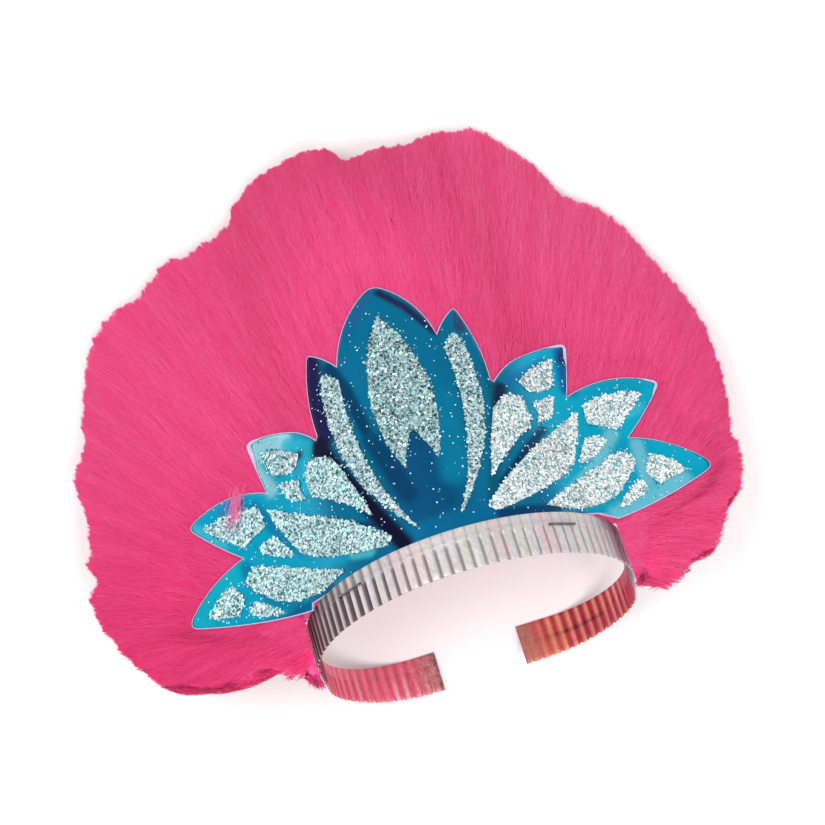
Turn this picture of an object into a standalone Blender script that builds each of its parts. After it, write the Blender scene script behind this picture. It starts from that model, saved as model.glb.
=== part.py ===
"""A stage tiara: a ribbed foil band, a bent foil plate with nine petals and glitter patches, two staples and
a marabou plume. It lies on its back, on the ends of the band and on the plume's back, with its front up."""

import math

import bmesh
import bpy
from mathutils import Vector

MM = 0.001

# The pieces are modelled as worn, in millimetres: X to the wearer's left, Y backwards, Z up. The band's front
# is at Y = 0 and its top edge at Z = 0.

# Band
FRONT_RADIUS = 78.0
SIDE_RUN = 37.0
CORNER_RADIUS = 42.0
BAND_DEPTH = FRONT_RADIUS + SIDE_RUN + CORNER_RADIUS
TIP_X_RIGHT = 18.0
TIP_X_LEFT = 25.0
BAND_HEIGHT = 20.5
BAND_WALL = 1.6
MARGIN_HEIGHT = 6.0
MARGIN_FALL = 0.8
RIB_PITCH = 5.3
RIB_DEPTH = 0.8
RIB_CREST_SHARE = 0.6
END_TAB = 10.0
ARM_WAIST = 3.2
WAIST_START = 110.0

# Plate
GAP = 0.3
CARD = 1.0
CARD_RADIUS = FRONT_RADIUS - BAND_WALL - GAP - CARD / 2
WRAP_ANGLE = math.radians(48.0)
WING_SLOPE = 0.42
FLARE_LENGTH = 12.0
TAB_HALF_WIDTH = 57.0
TAB_DROP = 12.0
STEP_HALF_WIDTH = 69.0
TAB_CLEARANCE = 0.4

# Glitter patches
PATCH_THICKNESS = 0.6
PATCH_LEAN = -1.8

# Staples
STAPLE_ANGLE = math.radians(40.0)
STAPLE_WIDTH = 15.0
STAPLE_WIRE = 0.8
STAPLE_Z = -6.5
STAPLE_TAIL = 0.8
SLOT = 1.6
SLOT_CUT_REACH = 6.0
SLOT_CUT_BEHIND = 2.0

# Plume
PLUME_GAP = 0.9
LOCKS = 28
STEPS_PER_LOCK = 4
PLUME_THICKNESS = 48.0
PLUME_CENTRE_Z = 60.0
UNDERSIDE_X = 80.8
UNDERSIDE_Z = 3.0
LOBE_DROP = -31.0
RIM_DEPTH = 22.0
RIM_SWEEP = 0.34
RIM_LIFT = 6.0
RIM_HALF_DEPTH = 2.0
LEAST_DEPTH = 6.0
PUFF = 7.0
LOCK_NOTCH = 0.045
LOCK_NOTCH_CHANGE = 0.5
LOCK_NOTCH_RATE = 2.4
LOCK_FURROW = 0.3
LOCK_ROUNDNESS = 0.7
FULL_RAY = 85.0
PLATE_MARGIN = 5.0
MOST_PLATE_SHARE = 0.86
FOOT_FULLNESS = 0.06
FULLNESS_LEAN = 0.85
FULLNESS_ROUNDNESS = 0.6

# Where each ray of the plume gets its points: as shares of its way behind the plate, of its way from the
# plate's edge to the rim, and, for the back, of its whole way from the rim in.
BEHIND_PLATE = (0.0, 0.34, 0.68, 1.0)
PLATE_TO_RIM = (0.3, 0.62, 0.88)
RIM_TO_FOOT = (0.93, 0.78, 0.58, 0.36, 0.14, 0.0)

# Outlines: the length of an arc's pieces, the bulge under which an edge is straight, and the pieces of a
# rounded tip.
ARC_STEP = 4.5
STRAIGHT_BULGE = 0.25
TIP_STEPS = 3

# Lying pose: the angle between the floor and the worn upright, with the floor at the band's back.
LIE_ANGLE = math.radians(27.5)

# Half of the plate's outline from the foot of the lowest petal up to the centre: each corner's place, how far
# the pair leans to the wearer's left, the bulge of the edge that follows and the radius that rounds it.
PETAL_CORNERS = (
    # name, x, z, lean, bulge, rounding
    ("foot", 73.6, -2.9, 3.7, 1.7, 0.0),
    ("third_tip", 131.0, 17.4, -0.4, 3.6, 6.0),
    ("third_notch", 95.3, 37.6, -0.7, 0.8, 0.0),
    ("second_tip", 118.6, 64.4, -0.3, 5.8, 4.0),
    ("second_notch", 74.3, 62.1, -1.9, 0.2, 0.0),
    ("first_tip", 80.2, 90.6, 0.2, 5.0, 4.0),
    ("first_notch", 43.2, 69.4, -2.4, 0.0, 0.0),
    ("narrow_foot", 42.2, 70.6, -2.4, 2.1, 0.0),
    ("narrow_tip", 36.1, 110.1, -2.4, 0.9, 2.5),
    ("centre_notch", 24.4, 97.2, -2.0, 4.5, 0.0),
    ("centre_tip", 0.0, 129.7, -0.1, 0.0, 5.0),
)

# Patches of the right half: corners in order, each with the bulge of the edge that follows it.
SIDE_PATCHES = (
    # name, then rows of x, z, bulge
    ("stripe", ((31.5, 96.5, 0.4), (25.5, 89.5, -6.3), (10.2, 7.0, 8.9), (34.8, 86.0, 1.0))),
    ("first_inner", ((47.5, 62.3, 1.0), (38.0, 54.5, 0.4), (28.0, 21.0, -0.8), (52.3, 45.5, 0.8),
                     (53.0, 58.0, 0.8))),
    ("first_upper", ((72.0, 82.3, 1.5), (54.0, 69.5, 0.4), (57.5, 64.0, 0.2), (67.5, 66.5, 0.8))),
    ("first_wedge", ((67.5, 62.4, 0.5), (57.0, 57.5, 0.0), (58.2, 53.0, 0.0), (56.2, 47.5, 0.2),
                     (63.5, 51.5, 0.4))),
    ("second_inner", ((76.0, 54.0, 1.3), (22.5, 8.0, 0.8), (27.5, 4.8, 3.3), (66.5, 26.5, 0.8))),
    ("second_outer", ((80.0, 56.8, 0.0), (79.2, 46.8, -0.5), (92.0, 42.2, 0.5), (109.0, 60.0, 2.5))),
    ("second_wedge", ((76.0, 39.6, 0.3), (69.0, 26.0, 0.5), (82.5, 33.6, 0.4), (84.8, 38.3, 0.5))),
    ("third_inner", ((48.0, 4.6, 3.0), (80.0, 8.0, 1.0), (95.6, 24.5, 1.2), (89.5, 30.8, 1.5))),
    ("third_outer", ((98.5, 18.5, 0.3), (103.5, 12.0, 0.5), (117.5, 17.2, 1.8), (103.0, 27.0, 0.5))),
    ("third_small", ((93.3, 14.6, 0.6), (80.5, 2.2, 0.6), (95.8, 8.6, 0.3), (97.2, 12.2, 0.6))),
)
CENTRE_PATCH_TIP_Z = 113.5
CENTRE_PATCH_FOOT = (7.8, 36.0)
CENTRE_PATCH_FORK_Z = 54.0
CENTRE_PATCH_BULGE = 10.0
CENTRE_PATCH_FORK_BULGE = -0.8

# The plume's rim as seen from the front, from the right lobe over the top to the left one: the angle at the
# plume's centre and the distance from it.
PLUME_RIM = (
    # angle in degrees, radius
    (-50.0, 123.0),
    (-48.0, 132.0),
    (-42.5, 136.5),
    (-35.0, 147.0),
    (-25.0, 147.0),
    (-16.0, 151.0),
    (6.0, 152.0),
    (20.0, 155.0),
    (35.0, 159.0),
    (45.0, 157.0),
    (54.0, 165.0),
    (66.0, 175.0),
    (76.0, 162.0),
    (87.0, 155.0),
    (98.0, 166.0),
    (112.0, 159.0),
    (124.0, 172.5),
    (140.0, 183.0),
    (153.0, 178.0),
    (175.0, 173.5),
    (196.0, 171.5),
    (206.0, 159.5),
    (216.0, 135.0),
    (223.0, 126.0),
    (230.0, 123.5),
)
SHOULDER_ANGLES = (-20.0, 200.0)

# Upright lines of the plate's mesh, where its bend is cut into flat strips: close together round the band,
# wider apart on the wings.
RULING_PITCH = 6.5
WING_RULINGS = (83.0, 95.0, 105.0, 120.0)
RULINGS = [step * RULING_PITCH for step in range(-11, 12)]
RULINGS += [side * x for x in WING_RULINGS for side in (-1, 1)]


def make_material(name, colour, roughness, metallic):
    material = bpy.data.materials.new(name)
    material.use_nodes = True
    shader = material.node_tree.nodes["Principled BSDF"]
    shader.inputs["Base Color"].default_value = (*colour, 1.0)
    shader.inputs["Roughness"].default_value = roughness
    shader.inputs["Metallic"].default_value = metallic
    return material


def add_object(name, points, faces, material, parent):
    """One closed body from points in millimetres, with its faces turned outwards."""
    mesh = bpy.data.meshes.new(name)
    mesh.from_pydata([Vector(point) * MM for point in points], [], faces)
    work = bmesh.new()
    work.from_mesh(mesh)
    bmesh.ops.recalc_face_normals(work, faces=work.faces)
    work.to_mesh(mesh)
    work.free()
    mesh.materials.append(material)
    obj = bpy.data.objects.new(name, mesh)
    bpy.context.scene.collection.objects.link(obj)
    obj.parent = parent
    return obj


def arc_points(start, end, bulge):
    """Points from start up to, not including, end, on an arc that bulges to the right of the way."""
    (x0, z0), (x1, z1) = start, end
    length = math.hypot(x1 - x0, z1 - z0)
    count = max(1, round(length / ARC_STEP)) if abs(bulge) > STRAIGHT_BULGE else 1
    side_x, side_z = (z1 - z0) / length, (x0 - x1) / length
    points = []
    for index in range(count):
        t = index / count
        rise = 4.0 * bulge * t * (1.0 - t)
        points.append((x0 + (x1 - x0) * t + side_x * rise, z0 + (z1 - z0) * t + side_z * rise))
    return points


def rounded(points, corner, radius):
    """The closed outline with the corner replaced by a soft curve that starts radius away on both sides."""
    index = min(range(len(points)), key=lambda i: math.dist(points[i], corner))
    count = len(points)

    def walk(direction):
        at, left, place = index, radius, points[index]
        while True:
            following = points[(at + direction) % count]
            span = math.dist(place, following)
            if span > left:
                share = left / span
                meets = tuple(a + (b - a) * share for a, b in zip(place, following))
                return meets, at
            left -= span
            at += direction
            place = following

    before, last = walk(-1)
    after, first = walk(1)
    curve = []
    for step in range(TIP_STEPS + 1):
        t = step / TIP_STEPS
        curve.append(tuple((1 - t) ** 2 * a + 2 * t * (1 - t) * c + t * t * b
                           for a, c, b in zip(before, points[index], after)))
    kept = [points[i % count] for i in range(first + 1, last + count)]
    return curve + kept


def outline_from_rows(rows):
    points = []
    for index, (x, z, bulge) in enumerate(rows):
        following = rows[(index + 1) % len(rows)]
        points += arc_points((x, z), following[:2], bulge)
    return points


def shifted(points, side=1):
    return [(side * x + PATCH_LEAN, z) for x, z in points]


def plate_half(side):
    """The plate's outline on one side, from the foot of its lowest petal up to the centre."""
    corners = [(x + side * lean, z) for name, x, z, lean, bulge, rounding in PETAL_CORNERS]
    points = []
    for (name, x, z, lean, bulge, rounding), start, end in zip(PETAL_CORNERS, corners, corners[1:]):
        points += arc_points(start, end, bulge)
    points.append(corners[-1])
    return [(side * x, z) for x, z in points]


def plate_outline():
    """The whole plate seen from the front: petals on both sides, and the tab that lies inside the band."""
    left = plate_half(-1)
    outline = plate_half(1) + left[-2::-1]
    for name, x, z, lean, bulge, rounding in PETAL_CORNERS:
        if rounding:
            for side in ((1, -1) if x else (1,)):
                outline = rounded(outline, (side * x + lean, z), rounding)
    tab = [(-STEP_HALF_WIDTH, TAB_CLEARANCE), (-TAB_HALF_WIDTH, TAB_CLEARANCE), (-TAB_HALF_WIDTH, -TAB_DROP),
           (TAB_HALF_WIDTH, -TAB_DROP), (TAB_HALF_WIDTH, TAB_CLEARANCE), (STEP_HALF_WIDTH, TAB_CLEARANCE)]
    index = min(range(len(outline)), key=lambda i: math.dist(outline[i], left[0]))
    return outline[: index + 1] + tab + outline[index + 1:]


WRAP_X = CARD_RADIUS * math.sin(WRAP_ANGLE)
WRAP_Y = FRONT_RADIUS - CARD_RADIUS * math.cos(WRAP_ANGLE)


def card_depth(x):
    """How far back the plate's middle surface lies: round the band, then flaring out to the wings."""
    a = abs(x)
    if a < WRAP_X:
        return FRONT_RADIUS - math.sqrt(CARD_RADIUS**2 - a * a)
    beyond = a - WRAP_X
    extra = (math.tan(WRAP_ANGLE) - WING_SLOPE) * FLARE_LENGTH
    return WRAP_Y + WING_SLOPE * beyond + extra * (1.0 - math.exp(-beyond / FLARE_LENGTH))


def card_slope(x):
    a = abs(x)
    if a < WRAP_X:
        slope = a / math.sqrt(CARD_RADIUS**2 - a * a)
    else:
        fade = math.exp(-(a - WRAP_X) / FLARE_LENGTH)
        slope = WING_SLOPE + (math.tan(WRAP_ANGLE) - WING_SLOPE) * fade
    return math.copysign(slope, x)


def bend(x, z, forward):
    """The point at x and z of the plate, moved forward from its middle surface along its normal."""
    angle = math.atan(card_slope(x))
    return (x + forward * math.sin(angle), card_depth(x) - forward * math.cos(angle), z)


def bent_sheet(name, outline, forward, thickness, material, parent):
    """A sheet with the given outline, bent as the plate is, with its middle forward of the plate's."""
    work = bmesh.new()
    work.faces.new([work.verts.new((x, 0.0, z)) for x, z in outline])
    for x in RULINGS:
        geometry = work.verts[:] + work.edges[:] + work.faces[:]
        bmesh.ops.bisect_plane(work, geom=geometry, dist=1e-4, plane_co=(x, 0, 0), plane_no=(1, 0, 0))
    bmesh.ops.triangulate(work, faces=work.faces)
    work.verts.ensure_lookup_table()
    work.verts.index_update()
    places = [(vert.co.x, vert.co.z) for vert in work.verts]
    front_faces = [[vert.index for vert in face.verts] for face in work.faces]
    rim = [[edge.verts[0].index, edge.verts[1].index] for edge in work.edges if len(edge.link_faces) == 1]
    work.free()
    count = len(places)
    points = [bend(x, z, forward + thickness / 2) for x, z in places]
    points += [bend(x, z, forward - thickness / 2) for x, z in places]
    faces = front_faces + [[index + count for index in reversed(face)] for face in front_faces]
    faces += [[a, b, b + count, a + count] for a, b in rim]
    return add_object(name, points, faces, material, parent)


def band_place(s):
    """Where the band's outer face runs: x, y and the outward normal at the distance s from the front."""
    side = math.copysign(1.0, s)
    left = abs(s)
    quarter = math.pi / 2
    if left < FRONT_RADIUS * quarter:
        angle = left / FRONT_RADIUS
        x, y = FRONT_RADIUS * math.sin(angle), FRONT_RADIUS * (1 - math.cos(angle))
        return side * x, y, side * math.sin(angle), -math.cos(angle)
    left -= FRONT_RADIUS * quarter
    if left < SIDE_RUN:
        return side * FRONT_RADIUS, FRONT_RADIUS + left, side, 0.0
    left -= SIDE_RUN
    if left < CORNER_RADIUS * quarter:
        angle = left / CORNER_RADIUS
        x = FRONT_RADIUS - CORNER_RADIUS * (1 - math.cos(angle))
        y = FRONT_RADIUS + SIDE_RUN + CORNER_RADIUS * math.sin(angle)
        return side * x, y, side * math.cos(angle), math.sin(angle)
    left -= CORNER_RADIUS * quarter
    return side * (FRONT_RADIUS - CORNER_RADIUS - left), BAND_DEPTH, 0.0, 1.0


def band_length(tip_x):
    return (FRONT_RADIUS + CORNER_RADIUS) * math.pi / 2 + SIDE_RUN + FRONT_RADIUS - CORNER_RADIUS - tip_x


def band_stations():
    """Distances along the band with the depth of the groove at each, from the left tip to the right one."""
    left_end, right_end = -band_length(TIP_X_LEFT), band_length(TIP_X_RIGHT)
    first, last = left_end + END_TAB, right_end - END_TAB
    ribs = round((last - first) / RIB_PITCH)
    pitch = (last - first) / ribs
    stations = [(left_end, 0.0)]
    for rib in range(ribs):
        start = first + rib * pitch
        groove = start + pitch * (1 + RIB_CREST_SHARE) / 2
        stations += [(start, 0.0), (start + pitch * RIB_CREST_SHARE, 0.0), (groove, RIB_DEPTH)]
    return stations + [(last, 0.0), (right_end, 0.0)]


def band_waist(s):
    """How much the band's lower edge is drawn up at the distance s from the front: most in the arms' bends."""
    end = band_length(TIP_X_LEFT if s < 0 else TIP_X_RIGHT)
    share = max(0.0, (abs(s) - WAIST_START) / (end - WAIST_START))
    return ARM_WAIST * math.sin(math.pi * share) ** 2


def build_band(material, parent):
    points = []
    for s, groove in band_stations():
        x, y, normal_x, normal_y = band_place(s)
        low = band_waist(s) - BAND_HEIGHT
        for inward, z in ((0.0, 0.0), (0.0, -MARGIN_HEIGHT), (groove, -MARGIN_HEIGHT - MARGIN_FALL),
                          (groove, low), (BAND_WALL, low), (BAND_WALL, 0.0)):
            points.append((x - normal_x * inward, y - normal_y * inward, z))
    ring = 6
    count = len(points) // ring
    faces = [list(range(ring)), list(range((count - 1) * ring, count * ring))]
    for station in range(count - 1):
        for side in range(ring):
            a, b = station * ring + side, station * ring + (side + 1) % ring
            faces.append([a, b, b + ring, a + ring])
    return add_object("band", points, faces, material, parent)


def staple_frame(side):
    """The staple's axes: along its crown, out of the band, and up, at the place on the band that it holds."""
    angle = side * STAPLE_ANGLE
    out = Vector((math.sin(angle), -math.cos(angle), 0.0))
    along = Vector((math.cos(angle), math.sin(angle), 0.0))
    place = Vector((0.0, FRONT_RADIUS, 0.0)) + out * (FRONT_RADIUS + GAP) + Vector((0.0, 0.0, STAPLE_Z))
    return place, along, out


def build_staple(name, side, material, parent):
    place, along, out = staple_frame(side)
    half, wire = STAPLE_WIDTH / 2, STAPLE_WIRE
    leg = GAP + BAND_WALL + GAP + CARD + STAPLE_TAIL
    profile = ((-half, wire), (half, wire), (half, -leg), (half - wire, -leg), (half - wire, 0.0),
               (wire - half, 0.0), (wire - half, -leg), (-half, -leg))
    points = []
    for rise in (-wire / 2, wire / 2):
        points += [place + along * a + out * b + Vector((0, 0, rise)) for a, b in profile]
    count = len(profile)
    faces = [list(range(count)), list(range(count, 2 * count))]
    faces += [[i, (i + 1) % count, (i + 1) % count + count, i + count] for i in range(count)]
    return add_object(name, points, faces, material, parent)


def cut_slots(target, side, parent):
    """Cuts the holes that the two legs of a staple go through."""
    place, along, out = staple_frame(side)
    for end in (-1, 1):
        middle = place + along * end * (STAPLE_WIDTH - STAPLE_WIRE) / 2 - out * SLOT_CUT_BEHIND
        points = []
        for a in (-SLOT / 2, SLOT / 2):
            for b in (-SLOT_CUT_REACH, SLOT_CUT_REACH):
                for c in (-SLOT / 2, SLOT / 2):
                    points.append(middle + along * a + out * b + Vector((0, 0, c)))
        faces = [[0, 1, 3, 2], [4, 6, 7, 5], [0, 4, 5, 1], [2, 3, 7, 6], [0, 2, 6, 4], [1, 5, 7, 3]]
        name = f"slot_cutter_{target.name}_{side}_{end}"
        cutter = add_object(name, points, faces, target.data.materials[0], parent)
        cutter.hide_render = True
        cutter.display_type = "WIRE"
        modifier = target.modifiers.new(cutter.name, "BOOLEAN")
        modifier.object = cutter
        modifier.operation = "DIFFERENCE"
        modifier.solver = "EXACT"


def rim_radius(angle):
    """The distance of the plume's rim from its centre at the angle in degrees."""
    rows = PLUME_RIM
    index = max(0, min(len(rows) - 2, sum(1 for row in rows if row[0] <= angle) - 1))
    (a0, r0), (a1, r1) = rows[index], rows[index + 1]
    t = min(1.0, max(0.0, (angle - a0) / (a1 - a0)))
    return r0 + (r1 - r0) * t * t * (3 - 2 * t)


def underside_point(angle):
    """The plume's inner edge for the ray that ends on the rim at the angle."""
    low, high = SHOULDER_ANGLES
    if low <= angle <= high:
        turn = math.pi * (angle - low) / (high - low)
        return UNDERSIDE_X * math.cos(turn), UNDERSIDE_Z
    if angle < low:
        side, shoulder, end = 1, low, PLUME_RIM[0][0]
    else:
        side, shoulder, end = -1, high, PLUME_RIM[-1][0]
    share = (angle - shoulder) / (end - shoulder)
    return side * UNDERSIDE_X, UNDERSIDE_Z + (LOBE_DROP - UNDERSIDE_Z) * share


def plate_share(inner, outer, outline):
    """The share of the way from inner to outer at which the ray has left the plate's outline for good."""
    (ax, az), (bx, bz) = inner, outer
    dx, dz = bx - ax, bz - az
    length = math.hypot(dx, dz)
    last = 0.0
    for (px, pz), (qx, qz) in zip(outline, outline[1:] + outline[:1]):
        ex, ez = qx - px, qz - pz
        cross = dx * ez - dz * ex
        if abs(cross) < 1e-9:
            continue
        along = ((px - ax) * ez - (pz - az) * ex) / cross
        across = ((px - ax) * dz - (pz - az) * dx) / cross
        if 0.0 <= across <= 1.0 and 0.0 <= along <= 1.0:
            last = max(last, along)
    return min(MOST_PLATE_SHARE, last + PLATE_MARGIN / length)


def floor_depth(z):
    """How far back the floor is that the tiara lies on, at the height z as worn."""
    return BAND_DEPTH - z * math.tan(LIE_ANGLE)


def lock_shape(phase):
    """How full a lock is across its width, from 0 at its edges to 1 in its middle."""
    return abs(math.sin(math.pi * phase)) ** LOCK_ROUNDNESS


def build_plume(outline, material, parent):
    first, last = PLUME_RIM[0][0], PLUME_RIM[-1][0]
    sections = LOCKS * STEPS_PER_LOCK
    rays = []
    for index in range(sections + 1):
        angle = first + (last - first) * index / sections
        swell = lock_shape(index / STEPS_PER_LOCK)
        lock = index // STEPS_PER_LOCK
        notch = LOCK_NOTCH * (1.0 + LOCK_NOTCH_CHANGE * math.sin(LOCK_NOTCH_RATE * lock))
        radius = rim_radius(angle) * (1.0 - notch * (1.0 - swell))
        turn = math.radians(angle)
        outer = (radius * math.cos(turn), PLUME_CENTRE_Z + radius * math.sin(turn))
        rays.append((underside_point(angle), outer, swell))
    exits = [plate_share(inner, outer, outline) for inner, outer, swell in rays]
    points = []
    for index, (inner, outer, swell) in enumerate(rays):
        leaves = max(exits[max(0, index - 2): index + 3])
        points += plume_section(inner, outer, swell, leaves)
    ring = len(points) // len(rays)
    faces = [list(range(ring)), list(range(len(points) - ring, len(points)))]
    for section in range(len(rays) - 1):
        for side in range(ring):
            a, b = section * ring + side, section * ring + (side + 1) % ring
            faces.append([a, b, b + ring, a + ring])
    return add_object("plume", points, faces, material, parent)


def plume_section(inner, outer, swell, leaves):
    """One closed section of the plume: out along its front, round the rim and in along its back."""
    taper = min(1.0, math.dist(inner, outer) / FULL_RAY)
    furrow = 1.0 - LOCK_FURROW * (1.0 - swell)
    rim_y = min(RIM_DEPTH + RIM_SWEEP * abs(outer[0]), floor_depth(outer[1]) - RIM_LIFT)

    def at(v):
        return inner[0] + (outer[0] - inner[0]) * v, inner[1] + (outer[1] - inner[1]) * v

    section = []
    for part in BEHIND_PLATE:
        x, z = at(leaves * part)
        section.append(bend(x, z, -(CARD / 2 + PLUME_GAP)))
    for part in PLATE_TO_RIM:
        x, z = at(leaves + (1.0 - leaves) * part)
        behind = bend(x, z, -(CARD / 2 + PLUME_GAP))[1]
        blend = part * part
        puff = PUFF * math.sin(math.pi * part) * furrow * taper
        section.append((x, behind * (1 - blend) + (rim_y - RIM_HALF_DEPTH) * blend - puff, z))
    section.append((outer[0], rim_y + RIM_HALF_DEPTH, outer[1]))
    for v in RIM_TO_FOOT:
        x, z = at(v)
        phase = min(1.0, FOOT_FULLNESS + (1.0 - FOOT_FULLNESS) * v**FULLNESS_LEAN)
        fullness = math.sin(math.pi * phase) ** FULLNESS_ROUNDNESS
        front = bend(x, z, -(CARD / 2 + PLUME_GAP))[1]
        base = front * (1 - v * v) + rim_y * v * v
        depth = base + (LEAST_DEPTH + (PLUME_THICKNESS - LEAST_DEPTH) * fullness * furrow) * taper
        section.append((x, min(depth, floor_depth(z)), z))
    return section


def centre_on_floor(pose, parts):
    """Moves the pose so that the whole lies on the floor with its middle over the origin."""
    bpy.context.view_layer.update()
    corners = [part.matrix_world @ vert.co for part in parts for vert in part.data.vertices]
    low = [min(corner[axis] for corner in corners) for axis in range(3)]
    high = [max(corner[axis] for corner in corners) for axis in range(3)]
    pose.location = (-(low[0] + high[0]) / 2, -(low[1] + high[1]) / 2, -low[2])
    bpy.context.view_layer.update()


def main():
    for obj in list(bpy.data.objects):
        bpy.data.objects.remove(obj, do_unlink=True)

    silver_foil = make_material("silver_foil", (0.68, 0.65, 0.63), 0.32, 0.8)
    teal_foil = make_material("teal_foil", (0.0, 0.2, 0.36), 0.28, 0.7)
    glitter = make_material("glitter", (0.72, 0.76, 0.75), 0.35, 0.6)
    staple_wire = make_material("staple_wire", (0.12, 0.11, 0.11), 0.4, 1.0)
    marabou = make_material("marabou", (0.82, 0.08, 0.24), 0.9, 0.0)

    pose = bpy.data.objects.new("lying_pose", None)
    bpy.context.scene.collection.objects.link(pose)
    pose.rotation_euler = (-math.pi / 2 - LIE_ANGLE, 0.0, 0.0)

    band = build_band(silver_foil, pose)
    outline = plate_outline()
    plate = bent_sheet("plate", outline, 0.0, CARD, teal_foil, pose)
    parts = [band, plate]

    forward = CARD / 2 + GAP + PATCH_THICKNESS / 2
    foot_x, foot_z = CENTRE_PATCH_FOOT
    centre = ((0.0, CENTRE_PATCH_TIP_Z, CENTRE_PATCH_BULGE), (-foot_x, foot_z, CENTRE_PATCH_FORK_BULGE),
              (0.0, CENTRE_PATCH_FORK_Z, CENTRE_PATCH_FORK_BULGE), (foot_x, foot_z, CENTRE_PATCH_BULGE))
    parts.append(bent_sheet("patch_centre", shifted(outline_from_rows(centre)), forward, PATCH_THICKNESS,
                            glitter, pose))
    for name, rows in SIDE_PATCHES:
        half = outline_from_rows(rows)
        for side, word in ((1, "right"), (-1, "left")):
            parts.append(bent_sheet(f"patch_{name}_{word}", shifted(half, side), forward, PATCH_THICKNESS,
                                    glitter, pose))

    for side, word in ((1, "right"), (-1, "left")):
        parts.append(build_staple(f"staple_{word}", side, staple_wire, pose))
        cut_slots(band, side, pose)
        cut_slots(plate, side, pose)

    parts.append(build_plume(outline, marabou, pose))
    centre_on_floor(pose, parts)


main()
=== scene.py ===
"""The looks of the stage tiara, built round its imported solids: a combed marabou plume, a teal foil plate with
glitter patches and loose flakes, and a crimped silver band."""

import math

import bpy
import numpy as np
from mathutils import Matrix, Vector
from mathutils.geometry import delaunay_2d_cdt


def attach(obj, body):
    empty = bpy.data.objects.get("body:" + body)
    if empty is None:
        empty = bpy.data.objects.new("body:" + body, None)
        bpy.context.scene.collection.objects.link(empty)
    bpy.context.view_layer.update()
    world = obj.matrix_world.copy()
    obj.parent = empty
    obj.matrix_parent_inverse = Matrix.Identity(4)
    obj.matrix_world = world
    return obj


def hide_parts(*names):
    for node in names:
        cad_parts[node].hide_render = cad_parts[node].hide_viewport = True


MM = 0.001
BAND_SEED = 3
GLITTER_SEED = 11
PLUME_SEED = 7

# Every shape is laid out as worn, in millimetres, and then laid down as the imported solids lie: X to the
# wearer's left, Y backwards, Z up, with the band's front at Y = 0 and its top edge at Z = 0.
LIE_ANGLE = math.radians(27.5)
POSE_TURN = np.array(Matrix.Rotation(-math.pi / 2 - LIE_ANGLE, 3, "X"))
POSE_PLACE = np.array((0.0107121, -0.0470627, 0.1392607))

# Band
FRONT_RADIUS = 78.0
SIDE_RUN = 37.0
CORNER_RADIUS = 42.0
BAND_DEPTH = FRONT_RADIUS + SIDE_RUN + CORNER_RADIUS
TIP_X_RIGHT = 18.0
TIP_X_LEFT = 25.0
BAND_HEIGHT = 20.5
BAND_WALL = 1.6
BAND_SHEET = 0.75
RIB_PITCH = 5.3
RIB_DEPTH = 0.8
END_TAB = 1.6
ARM_WAIST = 3.2
WAIST_START = 110.0
WAIST_TOP = 7.0

# Plate
CARD = 1.0
CARD_RADIUS = FRONT_RADIUS - BAND_WALL - 0.3 - CARD / 2
WRAP_ANGLE = math.radians(48.0)
WING_SLOPE = 0.42
FLARE_LENGTH = 12.0
PATCH_LEAN = -1.8
WRAP_X = CARD_RADIUS * math.sin(WRAP_ANGLE)
WRAP_Y = FRONT_RADIUS - CARD_RADIUS * math.cos(WRAP_ANGLE)

# Plume
PLUME_GAP = 0.9
LOCKS = 28
PLUME_THICKNESS = 48.0
PLUME_CENTRE_Z = 60.0
UNDERSIDE_X = 80.8
UNDERSIDE_Z = 3.0
LOBE_DROP = -31.0
RIM_DEPTH = 22.0
RIM_SWEEP = 0.34
RIM_LIFT = 6.0
RIM_HALF_DEPTH = 2.0
LEAST_DEPTH = 6.0
PUFF = 7.0
LOCK_FURROW = 0.3
FULL_RAY = 85.0

# How much of the solids' furrows between the locks the down still shows: it fills the rest.
FRONT_FURROW = 0.12
BACK_FURROW = 0.8

PETAL_CORNERS = (
    # name, x, z, lean, bulge, rounding
    ("foot", 73.6, -2.9, 3.7, 1.7, 0.0),
    ("third_tip", 131.0, 17.4, -0.4, 3.6, 6.0),
    ("third_notch", 95.3, 37.6, -0.7, 0.8, 0.0),
    ("second_tip", 118.6, 64.4, -0.3, 5.8, 4.0),
    ("second_notch", 74.3, 62.1, -1.9, 0.2, 0.0),
    ("first_tip", 80.2, 90.6, 0.2, 5.0, 4.0),
    ("first_notch", 43.2, 69.4, -2.4, 0.0, 0.0),
    ("narrow_foot", 42.2, 70.6, -2.4, 2.1, 0.0),
    ("narrow_tip", 36.1, 110.1, -2.4, 0.9, 2.5),
    ("centre_notch", 24.4, 97.2, -2.0, 4.5, 0.0),
    ("centre_tip", 0.0, 129.7, -0.1, 0.0, 5.0),
)

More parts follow.
